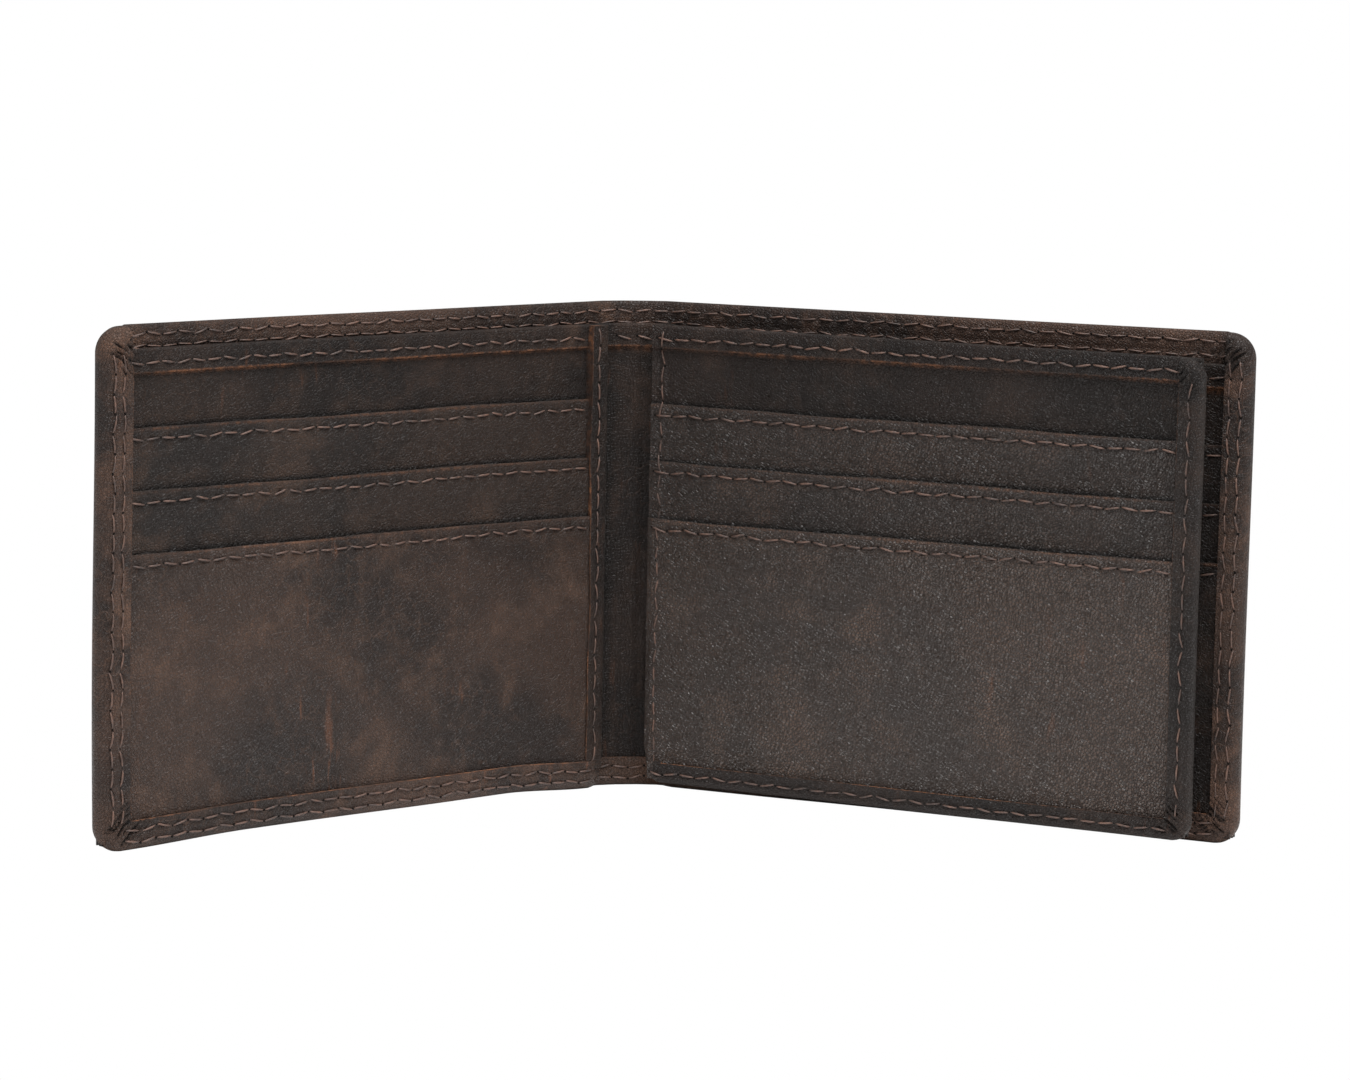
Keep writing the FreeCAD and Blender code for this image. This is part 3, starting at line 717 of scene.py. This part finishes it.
def joined(*parts):
    """Several closed shells as one list of points, faces and marks."""
    points, faces, raw, dark = [], [], [], []
    start = 0
    for part in parts:
        some, sides, marks = part
        points.append(some)
        faces += [[start + corner for corner in side] for side in sides]
        raw.append(np.broadcast_to(marks.get("raw", 0.0), len(some)))
        dark.append(np.broadcast_to(marks.get("dark", 0.0), len(some)))
        start += len(some)
    return np.vstack(points), faces, {"raw": np.concatenate(raw), "dark": np.concatenate(dark)}


def below_lip(lip, front):
    """Painted shade on a layer's front, below and just above where the next pocket's mouth stands
    off it.
    """
    return lambda points: 0.95 * (-points[:, 1] > front) * ramp((lip + 1.0 - points[:, 2]) / 1.1)


left_run = -np.linspace(HALF_START + 0.6, HALF_TUCKED, 170)
panel = marked(*carried(plate_section(WALL_FRONT + CLEAR, PANEL_FRONT, TUCK, WALL_TOP,
                                      LEFT_LIPS[0]), left_run),
               raw=cut_edge(WALL_TOP - STRIP_WIDTH, PANEL_FRONT - 0.2),
               dark=below_lip(LEFT_LIPS[0], WALL_FRONT + 0.2))
fold = upright_fold(HALF_START, EDGE_STRIP, WALL_FRONT + CLEAR, EDGE_FRONT,
                    HEM_WIDTH["bottom"] - 1.5, WALL_TOP - 0.2, -1)
obj = made("left_panel", flat_mesh(*joined(panel, fold)), inner_finish)
bend_at(obj)
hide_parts("left_card_panel")


# ---- The card pockets
# Three on each half and three on the swing page, lapped like roof tiles.  Each mouth is a turned
# edge that stands a little open; below it the leather sinks to lie against the pocket behind.
POCKET_ROW = 2.0
MOUTH = 0.50
LOWEST = 2


def pocket_face(along, up, lip, following, back, rank, puff):
    """Depth of a pocket's front: highest behind its mouth, sunk by the next mouth, gently waved."""
    sink = 1 - ramp((lip - 2.6 - up) / (lip - following - 3.2))
    waves = puff * (np.sin(along / 13.0 + rank) * np.sin(up / 9.0)
                    + 0.5 * np.sin(along / 5.7 + up / 7.0 + rank * 1.7))
    gap = 1 - np.exp(-((lip - up) / 5.0) ** 2)
    return back + (rank + 1) * LAYER + 0.10 * sink + MOUTH * mouth_opening(along, rank) * sink + (
        waves * gap)


def mouth_opening(along, rank):
    """How far a mouth stands open along its length: about 1, and a third of that at its ends."""
    out = np.abs(along) - OUTER_CREASE
    free = ramp((out - 5.5) / 9.0) * ramp((104.0 - out) / 9.0)
    return (0.33 + 0.67 * free) * (
        1.0 + 0.16 * np.sin(along / 6.7 + rank * 2.1) + 0.10 * np.sin(along / 2.3 + rank))


def next_lip(lips, rank):
    """Height of the mouth below, or of the line where the lowest pocket has sunk."""
    return lips[rank + 1] if rank < LOWEST else lips[rank] - 9.0


def pocket_section(lip, following, foot, back, rank, puff):
    """Section rule of one pocket: the back face upwards, a rolled lip, then the front face down.

    The lip stands off the layer behind.  Below it the front sinks, and dips at its row of sewing.
    """
    def section(along):
        one = np.ones_like(along)
        low = back + rank * LAYER
        turn = np.linspace(0.0, math.pi, 9)
        up = np.linspace(foot, lip - 0.4, 26)
        stand_off = MOUTH * ramp((up - (lip - 8.0)) / 7.0)
        down = np.concatenate((np.linspace(lip - 0.55, lip - 4.0, 14),
                               np.linspace(lip - 4.5, following + 1.2, 10),
                               np.linspace(following + 1.0, following - 1.0, 9),
                               np.linspace(following - 1.5, foot, 26 if rank < LOWEST else 50)))
        open_lip = mouth_opening(along, rank)
        middle = low + MOUTH * open_lip + 0.30
        over = middle - 0.30 * np.cos(turn)
        rear = low + stand_off * open_lip
        face = pocket_face(along, one * down, lip, following, back, rank, puff) + rows_pull(
            one * np.abs(down - (lip - POCKET_ROW)), along, (0.0,))
        depth = np.concatenate((rear, over, face), axis=1)
        ups = one * np.concatenate((up, lip - 0.36 + 0.36 * np.sin(turn), down))
        lift = 0.10 * np.sin(along / 9.0 + rank) + 0.05 * np.sin(along / 3.7)
        return depth, ups + lift * ramp((ups - lip + 2.5) / 2.0)
    return section


def lip_marks(lip, low):
    """A thin line in the cut-edge colour along the mouth."""
    def raw(points):
        return 0.30 * np.exp(-((points[:, 2] - lip + 0.25) / 0.22) ** 2) * (-points[:, 1] > low)
    return raw


pocket_finish = leather("pocket_leather", (0.0160, 0.0092, 0.0064, 1), (0.040, 0.022, 0.0140, 1),
                        (0.0056, 0.0034, 0.0026, 1), pebble=1.0, shine=0.40, seed=0.77)
# The lowest left pocket takes a lighter copy of the pocket leather: painted light for the brighter
# bottom of the half.
low_pocket_lit_finish = leather("low_pocket_leather", (0.0265, 0.0148, 0.0102, 1),
                            (0.064, 0.035, 0.0225, 1), (0.0085, 0.0050, 0.0038, 1), pebble=1.0,
                            shine=0.38, seed=2.31, scuffs=1.6)


def card_pockets(prefix, run, lips, back, feet, place, puff=0.06):
    """Three pockets as separate pieces, made from the top one down."""
    pieces = []
    for rank, lip in enumerate(lips):
        rule = pocket_section(lip, next_lip(lips, rank), feet[rank], back, rank, puff)
        front = back + rank * LAYER + 0.3
        marks = {"raw": lip_marks(lip, front)}
        if rank < LOWEST:
            # Painted shade on this pocket's front where the next mouth stands off it.
            marks["dark"] = below_lip(lips[rank + 1], front)
        work = flat_mesh(*marked(*carried(rule, run), **marks))
        name = ("top", "middle", "bottom")[rank]
        # The lowest left pocket gets the lighter copy, painted light.
        finish = low_pocket_lit_finish if rank == LOWEST and prefix == "left" else pocket_finish
        pieces.append((made("%s_%s_card_pocket" % (prefix, name), work, finish, place),
                       "%s_pocket_%s" % (prefix, name)))
    for obj, node in pieces:
        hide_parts(node)
    return [obj for obj, node in pieces]


RIGHT_LIPS = (70.3, 60.0, 49.7)
left_run = -np.linspace(HALF_START + 1.0, HALF_TUCKED, 190)
for obj in card_pockets("left", left_run, LEFT_LIPS, PANEL_FRONT, (25.0, 14.2, TUCK), stand):
    bend_at(obj)
right_run = np.linspace(OUTER_CREASE + 4.0, HALF_TUCKED, 190)
for obj in card_pockets("right", right_run, RIGHT_LIPS, WALL_FRONT, (23.3, 12.8, TUCK), stand):
    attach(obj, "right_half")


# ---- The swing page
# A leaf of leather with three more pockets, sewn to the right half along its spine side.  Its back
# is turned forward over the free side and the bottom; the panel's own top edge is turned down.
PAGE_TURN = math.radians(2.8)
PAGE_HINGE, PAGE_HINGE_DEPTH = OUTER_CREASE + 3.1, 5.9
PAGE_ZONE = (OUTER_CREASE + 1.9, OUTER_CREASE + 4.6)
PAGE_START, PAGE_END = OUTER_CREASE - 0.2, OUTER_CREASE + 108.4
PAGE_BASE, PAGE_TOP = 1.5, WALL_TOP
PAGE_BACK, PAGE_PANEL, PAGE_POCKETS = 3.4, 3.9, 4.4
PAGE_FRONT = 6.5
PAGE_CORNER = 3.6
FLAP_LIPS = (71.5, 61.0, 50.5)
PAGE_EDGE_DEPTH = 5.1
PAGE_HEM = {"left": 4.0, "right": 4.4, "bottom": 3.85, "top": 3.7}
PAGE_SIDE_ROW, PAGE_BOTTOM_ROW = 2.3, 1.9
PAGE_PUFF = 0.08
PAGE_TUCK = 0.7


def page(flat):
    """The page's points: lifted 2.8 degrees about its hinge line, and stood with the right half."""
    flat = flat.copy()
    angle = PAGE_TURN * ramp((flat[..., 0] - PAGE_ZONE[0]) / (PAGE_ZONE[1] - PAGE_ZONE[0]))
    out, rise = flat[..., 0] - PAGE_HINGE, -flat[..., 1] - PAGE_HINGE_DEPTH
    flat[..., 0] = PAGE_HINGE + out * np.cos(angle) - rise * np.sin(angle)
    flat[..., 1] = -(PAGE_HINGE_DEPTH + out * np.sin(angle) + rise * np.cos(angle))
    # The spine-side edge thins out to a rounded fold, cut back where the cover's bottom hem lies.
    near = ramp((PAGE_START + 3.0 - flat[..., 0]) / 3.0)
    flat[..., 0] = flat[..., 0] + 0.8 * near * ramp((8.0 - flat[..., 2]) / 2.5)
    roll = ramp((PAGE_START + 1.2 - flat[..., 0]) / 1.2)
    flat[..., 1] = flat[..., 1] - roll * 0.60 * (PAGE_EDGE_DEPTH + flat[..., 1])
    return stand(flat, stiff=True)


def page_bend(obj):
    """The piece's transform, baked into its mesh."""
    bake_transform(obj)


def page_hem_front(along, up):
    """Depth of the page's turned edge: in front of the pockets at the free side and the bottom."""
    free = ramp((along - (PAGE_END - PAGE_HEM["right"] - 0.8)) / 0.9)
    low = ramp((PAGE_BASE + PAGE_HEM["bottom"] + 0.9 - up) / 0.9) * ramp(
        (along - PAGE_START - 0.5) / 2.0)
    return PAGE_PANEL + 0.05 + (PAGE_FRONT - PAGE_PANEL) * np.maximum(free, low)


def page_thickness(along, up):
    """Thickness of the page's turned edge; where pockets hide it, it is as good as flat."""
    return 0.04 + 0.55 * ramp((page_hem_front(along, up) - PAGE_PANEL - 1.0) / 1.0)


def page_relief(along, up):
    """Pleated corners at the free side, and rows pulled down by the thread."""
    bump, dark = pleats(along, up, (PAGE_START, PAGE_END, PAGE_BASE, PAGE_TOP),
                        np.random.default_rng(5), 0.8)
    free = ramp((along - PAGE_END + 14.0) / 3.0)
    bump, dark = bump * free, dark * free
    bump = bump + rows_pull(PAGE_END - along, up, (PAGE_SIDE_ROW,)) + rows_pull(
        up - PAGE_BASE, along, (PAGE_BOTTOM_ROW,))
    # The second value is painted shade in the pleats and slits.
    return bump, dark


def page_rear_relief(along, up):
    """The page's back is pulled in along its sewing."""
    return rows_pull(PAGE_END - along, up, (PAGE_SIDE_ROW,)) + rows_pull(
        up - PAGE_BASE, along, (PAGE_BOTTOM_ROW,))


# Three copies of the page's leather, painted shade and painted light: darkest for its back, panel
# and margin, lighter for its upper pockets, lightest for the bottom one.
page_shaded_finish = leather("page_leather_shaded_copy", (0.0105, 0.0064, 0.0050, 1), (0.024, 0.0140, 0.0098, 1),
                      (0.0046, 0.0029, 0.0023, 1), pebble=1.1, shine=0.38, seed=1.9, scuffs=0.6,
                      gloss=0.16)
page_pocket_lit_finish = leather("page_pocket_leather", (0.0200, 0.0122, 0.0090, 1),
                             (0.040, 0.0230, 0.0155, 1), (0.0090, 0.0056, 0.0044, 1), pebble=2.0,
                             shine=0.36, seed=3.7, scuffs=0.5, gloss=0.25)
page_low_lit_finish = leather("page_low_leather_lit_copy", (0.0340, 0.0205, 0.0145, 1),
                          (0.060, 0.0350, 0.0235, 1), (0.0160, 0.0100, 0.0076, 1), pebble=2.4,
                          shine=0.34, seed=5.3, scuffs=0.5, gloss=0.28)
obj = made("page_back", flat_mesh(*turned_sheet(
    (PAGE_START, PAGE_END, PAGE_BASE, PAGE_TOP), PAGE_CORNER, PAGE_HEM, page_hem_front, PAGE_BACK,
    PAGE_PANEL - 0.03, page_thickness, 1.2, page_relief, page_rear_relief)), page_shaded_finish, page)
page_bend(obj)
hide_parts("flap_back")

page_run = np.unique(np.concatenate((np.linspace(PAGE_START, PAGE_START + 6, 26),
                                     np.linspace(PAGE_START + 6, PAGE_END - 0.9, 170))))
panel = marked(*carried(plate_section(PAGE_PANEL, PAGE_POCKETS, PAGE_BASE + PAGE_TUCK, PAGE_TOP,
                                      FLAP_LIPS[0]), page_run),
               raw=cut_edge(PAGE_TOP - STRIP_WIDTH, PAGE_POCKETS - 0.2),
               dark=below_lip(FLAP_LIPS[0], PAGE_PANEL + 0.2))
obj = made("page_panel", flat_mesh(*panel), page_shaded_finish, page)
page_bend(obj)
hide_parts("flap_panel")
page_feet = (24.0, 13.5, PAGE_BASE + PAGE_TUCK)
for obj in card_pockets("flap", page_run, FLAP_LIPS, PAGE_POCKETS, page_feet, page, PAGE_PUFF):
    # The upper pockets take the lighter copy and the bottom one the lightest: painted light.
    obj.data.materials[0] = page_low_lit_finish if "bottom" in obj.name else page_pocket_lit_finish
    page_bend(obj)

margin = upright_fold(OUTER_CREASE + 0.8, 2.2, WALL_FRONT + CLEAR, PAGE_BACK + 0.1, PAGE_BASE,
                      PAGE_TOP - 0.5, 1)
obj = made("page_margin", flat_mesh(*margin), page_shaded_finish, lambda flat: stand(flat, stiff=True))
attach(obj, "right_half")
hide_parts("flap_hinge_margin")


# ---- The sewing
# Waxed red-brown thread, a little over 3 mm to the stitch.  Every stitch dives into a punched hole
# at both ends, and leans a little, first one way and then the other.
THREAD = 0.17
SUNK, SUNK_IN_HEM = 0.10, 0.12


def stitch_shape(sides=6, stations=5):
    """One stitch along X, arched over Z: a tube whose ends taper and dive, as points and faces."""
    t = np.linspace(-1.0, 1.0, stations)[:, None]
    turn = np.linspace(0.0, 2 * math.pi, sides, endpoint=False)[None, :]
    radius = THREAD * np.array((0.55, 1.0, 1.05, 1.0, 0.55))[:, None]
    x = t * (PITCH / 2 - 0.06) + 0 * turn
    y = radius * np.cos(turn)
    z = radius * np.sin(turn) + 0.17 * (1 - t ** 2) - 0.12 * t ** 4
    points = np.stack((x, y, z), -1).reshape(-1, 3)
    return points, tube_faces(stations, sides)


def hole_shape(sides=7):
    """A punched hole seen from outside: a low lens in painted shade, as points and faces."""
    turn = np.linspace(0.0, 2 * math.pi, sides, endpoint=False)
    ring = np.stack((0.26 * np.cos(turn), 0.24 * np.sin(turn), np.zeros(sides)), -1)
    points = np.vstack((ring, [[0, 0, 0.09], [0, 0, -0.2]]))
    faces = [[k, (k + 1) % sides, sides] for k in range(sides)]
    faces += [[(k + 1) % sides, k, sides + 1] for k in range(sides)]
    return points, faces


def row_of(start, end, depth, outward=1.0, slant=0.13, seed=1, wander=0.06):
    """Stitches from start to end, given as (along, up), lying at depth on the leather.

    Each row of the result holds a stitch's centre, its heading and the side it faces.
    """
    rng = np.random.default_rng(seed)
    start, end = np.array(start, float), np.array(end, float)
    length = np.linalg.norm(end - start)
    count = max(1, int(round(length / PITCH)))
    t = (np.arange(count) + 0.5) / count
    centre = start + (end - start) * t[:, None]
    heading = math.atan2(*(end - start)[::-1]) + slant * np.where(np.arange(count) % 2, 1, -1)
    heading = heading + rng.normal(0, 0.07, count)
    across = np.array((-(end - start)[1], (end - start)[0])) / length
    centre = centre + across * (rng.normal(0, wander, count) + wander * np.sin(t * 9))[:, None]
    level = depth(centre[:, 0], centre[:, 1]) if callable(depth) else np.full(count, depth)
    return np.column_stack((centre[:, 0], level, centre[:, 1], heading, np.full(count, outward)))


def spread(shape, stitches, shift=0.0):
    """The shape set down at every stitch, shift along it, as flat points and faces."""
    points, faces = shape
    along, level, up, heading, outward = stitches.T[:, :, None]
    x, y, z = points.T[:, None, :]
    x = x + shift
    flat = np.stack((along + x * np.cos(heading) - y * np.sin(heading) * outward,
                     -(level + outward * z),
                     up + x * np.sin(heading) + y * np.cos(heading) * outward), -1)
    size = len(points)
    all_faces = [[corner + size * k for corner in face] for k in range(len(stitches))
                 for face in faces]
    return flat.reshape(-1, 3), all_faces


def thread_material(name, colour, light):
    """Waxed thread: a twisted ply in two browns."""
    finish = Finish(name)
    ply, wear = finish.noise(1500.0, 2.0, 0.5), finish.noise(160.0, 3.0, 0.5)
    level = finish.add("MapRange", {"Value": finish.plus(ply, wear), "From Min": 0.75,
                                    "From Max": 1.3}).outputs[0]
    return finish.done(finish.add("BsdfPrincipled", {
        "Base Color": finish.mix(level, colour, light), "Roughness": 0.62,
        "Normal": finish.bump(ply, 0.5, 0.0001)}))


def hole_shade_material(name, crumb, depth):
    """The inside of a punched hole, in painted shade: near black, with crumbs of leather."""
    finish = Finish(name)
    shader = finish.add("BsdfPrincipled", {
        "Base Color": finish.mix(finish.noise(2500.0, 2.0, 0.5), depth, crumb), "Roughness": 0.9})
    shader.inputs["Specular IOR Level"].default_value = 0.1
    return finish.done(shader)


thread_finish = thread_material("sewing_thread", (0.016, 0.0076, 0.0050, 1),
                                (0.080, 0.038, 0.024, 1))
hole_shade_finish = hole_shade_material("needle_hole_in_shade", (0.006, 0.004, 0.003, 1), (0.0008, 0.0006, 0.0005, 1))


def sewn(name, rows, node, place=stand):
    """All stitches and holes of one seam as one object."""
    stitches = np.vstack(rows)
    threads, holes = spread(stitch_shape(), stitches), spread(hole_shape(), stitches, -PITCH / 2)
    points, faces, _ = joined((*threads, {}), (*holes, {}))
    mesh = bpy.data.meshes.new(name)
    mesh.from_pydata(place(points).tolist(), [], faces)
    mesh.materials.append(thread_finish)
    mesh.materials.append(hole_shade_finish)
    slots = np.zeros(len(faces), np.int32)
    slots[len(threads[1]):] = 1
    mesh.polygons.foreach_set("material_index", slots)
    mesh.polygons.foreach_set("use_smooth", np.ones(len(faces), bool))
    work = bmesh.new()
    work.from_mesh(mesh)
    bmesh.ops.recalc_face_normals(work, faces=work.faces)
    work.to_mesh(mesh)
    work.free()
    obj = bpy.data.objects.new(name, mesh)
    bpy.context.scene.collection.objects.link(obj)
    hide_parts(*node)
    return obj


def on_hem(along, up):
    """Depth of the thread on the cover's hem."""
    return cover_hem_front(along, up) - SUNK_IN_HEM


loops = []
for turn, row in enumerate(COVER_ROWS):
    far = COVER_END - 4.2
    bottom = row_of((-far, row), (far, row), on_hem, seed=20 + turn)
    top = row_of((-far, HEIGHT - row), (far, HEIGHT - row), on_hem, seed=30 + turn)
    top[:, 2] += row_height(top[:, 0], row) - (HEIGHT - row)
    loops += [bottom, top]
    for side in (-1, 1):
        x = side * (COVER_END - row)
        loops.append(row_of((x, CORNER), (x, HEIGHT - CORNER), on_hem, seed=40 + turn + side))
loops = np.vstack(loops)
rear = loops.copy()
rear[:, 1], rear[:, 4] = COVER_BACK + SUNK, -1.0
everything = np.vstack((loops, rear))
for name, low, high, crease, nodes in (
        ("cover_sewing_left", -COVER_END, -STRIP_CUT, "left_fold",
         ("left_hem_stitching", "left_top_stitching")),
        ("cover_sewing_spine_left_side", -STRIP_CUT, 0.0, "left_bend",
         ("spine_stitching_left", "spine_stitching_mid")),
        ("cover_sewing_spine_right_side", 0.0, STRIP_CUT, "right_bend",
         ("spine_stitching_right",)),
        ("cover_sewing_right", STRIP_CUT, COVER_END, "right_fold",
         ("right_hem_stitching", "right_top_stitching"))):
    rows = [everything[(everything[:, 0] >= low) & (everything[:, 0] < high)]]
    if "spine" in name:
        rows.append(row_of((low + 0.4, WALL_TOP - STRIP_ROW), (high - 0.4, WALL_TOP - STRIP_ROW),
                           WALL_FRONT + 0.36, seed=8))
    bend_at(sewn(name, rows, nodes))

left_in, left_out = -(HALF_START + EDGE_STRIP + 0.4), -(COVER_END - HEM_WIDTH["left"] - 0.3)
rows = [row_of((left_out, WALL_TOP - STRIP_ROW), (left_in, WALL_TOP - STRIP_ROW),
               PANEL_FRONT + LAYER - SUNK, seed=51),
        row_of((-(HALF_START + EDGE_ROW), 5.0), (-(HALF_START + EDGE_ROW), WALL_TOP - 0.5),
               EDGE_FRONT - SUNK, seed=52)]
obj = sewn("left_panel_sewing", rows, ("left_wall_stitching",))
bend_at(obj)


def pocket_rules(lips, back, puff):
    """Depth rules of the sewing under three mouths."""
    return [lambda along, up, rank=rank, lip=lip: pocket_face(
        along, up, lip, next_lip(lips, rank), back, rank, puff) - SUNK_IN_HEM
            for rank, lip in enumerate(lips)]


def pocket_rows(first, last, lips, back, seed, puff=0.06):
    """A row of sewing under each of three mouths."""
    return [row_of((first, lip - POCKET_ROW), (last, lip - POCKET_ROW), rule, seed=seed + rank)
            for rank, (lip, rule) in enumerate(zip(lips, pocket_rules(lips, back, puff)))]


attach(sewn("left_pocket_sewing", pocket_rows(left_out, left_in, LEFT_LIPS, PANEL_FRONT, 60),
             ("left_pocket_stitching",)), "left_half")
right_in, right_out = OUTER_CREASE + 4.4, COVER_END - HEM_WIDTH["right"] - 0.3
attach(sewn("right_pocket_sewing", pocket_rows(right_in, right_out, RIGHT_LIPS, WALL_FRONT, 70),
             ("right_pocket_stitching",)), "right_half")
wall_row = WALL_TOP - RIGHT_WALL_DROP - STRIP_ROW
rows = [row_of((right_in, wall_row), (right_out, wall_row), WALL_FRONT + 0.36, seed=80)]
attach(sewn("right_wall_sewing", rows, ("right_wall_stitching",)), "right_half")
page_in, page_out = PAGE_START + 0.9, PAGE_END - PAGE_HEM["right"] - 0.3
page_bend(sewn("page_pocket_sewing",
               pocket_rows(page_in, page_out, FLAP_LIPS, PAGE_POCKETS, 90, PAGE_PUFF),
               ("flap_pocket_stitching",), page))


def page_face(along, up):
    """Depth of the page's front face at its spine-side seam."""
    depth = np.where(up > PAGE_TOP - STRIP_WIDTH, PAGE_POCKETS + LAYER, PAGE_POCKETS)
    for lip, rule in zip(FLAP_LIPS, pocket_rules(FLAP_LIPS, PAGE_POCKETS, PAGE_PUFF)):
        depth = np.where(up < lip, rule(along, up), depth)
    return depth


rows = [row_of((PAGE_START + 1.0, PAGE_BASE + PAGE_BOTTOM_ROW), (PAGE_END - 4.0,
               PAGE_BASE + PAGE_BOTTOM_ROW), PAGE_FRONT - SUNK, seed=100),
        row_of((page_in, PAGE_TOP - STRIP_ROW), (page_out, PAGE_TOP - STRIP_ROW),
               PAGE_POCKETS + LAYER - SUNK, seed=101),
        row_of((PAGE_END - PAGE_SIDE_ROW, PAGE_BASE + 4.0), (PAGE_END - PAGE_SIDE_ROW,
               PAGE_TOP - 4.0), PAGE_FRONT - SUNK, seed=102),
        row_of((PAGE_START + 2.1, PAGE_BASE + 2.5), (PAGE_START + 2.1, PAGE_TOP - 1.0), page_face,
               seed=103)]
page_bend(sewn("page_sewing", rows, ("flap_edge_stitching",), page))


# ---- The studio
# A plain white floor and backdrop, a soft light above and one at the left, and the camera.
def area_light(name, place, target, size, power):
    """A square soft light that looks at a target."""
    data = bpy.data.lights.new(name, "AREA")
    data.size, data.energy = size, power
    obj = bpy.data.objects.new(name, data)
    bpy.context.scene.collection.objects.link(obj)
    obj.location = place
    obj.rotation_mode = "QUATERNION"
    obj.rotation_quaternion = (Vector(target) - Vector(place)).to_track_quat("-Z", "Y")


WHITE = (1.0, 1.0, 1.0, 1.0)
floor_mesh = bpy.data.meshes.new("floor")
floor_mesh.from_pydata([(-6, -6, 0), (6, -6, 0), (6, 6, 0), (-6, 6, 0)], [], [(0, 1, 2, 3)])
floor = bpy.data.objects.new("floor", floor_mesh)
bpy.context.scene.collection.objects.link(floor)
# The floor is a matt white to the leather, and an even white to the camera.
finish = Finish("white_floor")
matt = finish.add("BsdfPrincipled", {"Base Color": WHITE, "Roughness": 1.0})
matt.inputs["Specular IOR Level"].default_value = 0.0
even = finish.add("Emission", {"Color": WHITE, "Strength": 1.0})
seen = finish.add("LightPath").outputs["Is Camera Ray"]
floor_mesh.materials.append(finish.done(finish.add(
    "MixShader", {0: seen, 1: matt.outputs[0], 2: even.outputs[0]})))

AMBIENT = 0.35
world = bpy.data.worlds.new("studio")
bpy.context.scene.world = world
world.use_nodes = True
sky = world.node_tree.nodes["Background"]
sky.inputs["Color"].default_value = WHITE
path = world.node_tree.nodes.new("ShaderNodeLightPath")
level = world.node_tree.nodes.new("ShaderNodeMapRange")
level.inputs["To Min"].default_value, level.inputs["To Max"].default_value = AMBIENT, 1.0
world.node_tree.links.new(path.outputs["Is Camera Ray"], level.inputs["Value"])
world.node_tree.links.new(level.outputs[0], sky.inputs["Strength"])
area_light("top_light", (0.10, -0.20, 0.7), (0, 0, 0.02), 0.45, 13.0)
area_light("left_light", (-0.7, -0.8, 0.25), (0, 0, 0.05), 0.35, 3.0)
bpy.context.scene.view_settings.view_transform = "Standard"

CAMERA_TURN, CAMERA_RISE, CAMERA_ROLL = math.radians(-8.11), math.radians(7.34), math.radians(1.02)
CAMERA_AWAY = 0.891
FOCAL_LENGTH = 128.533
AIM = Vector((0.0048, SPINE_BACK * MM, 0.0426))
back = Vector((math.sin(CAMERA_TURN) * math.cos(CAMERA_RISE),
               -math.cos(CAMERA_TURN) * math.cos(CAMERA_RISE), math.sin(CAMERA_RISE)))
right = Vector((math.cos(CAMERA_TURN), math.sin(CAMERA_TURN), 0.0))
above = back.cross(right)
lens = bpy.data.cameras.new("camera")
lens.sensor_width = 36.0
lens.lens = FOCAL_LENGTH
lens.shift_x, lens.shift_y = 0.01407, 0.01259
lens.clip_start, lens.clip_end = 0.01, 50.0
camera = bpy.data.objects.new("camera", lens)
turned = Matrix((right, above, back)).transposed() @ Matrix.Rotation(CAMERA_ROLL, 3, "Z")
camera.matrix_world = Matrix.Translation(AIM + back * CAMERA_AWAY) @ turned.to_4x4()
bpy.context.scene.collection.objects.link(camera)
bpy.context.scene.camera = camera
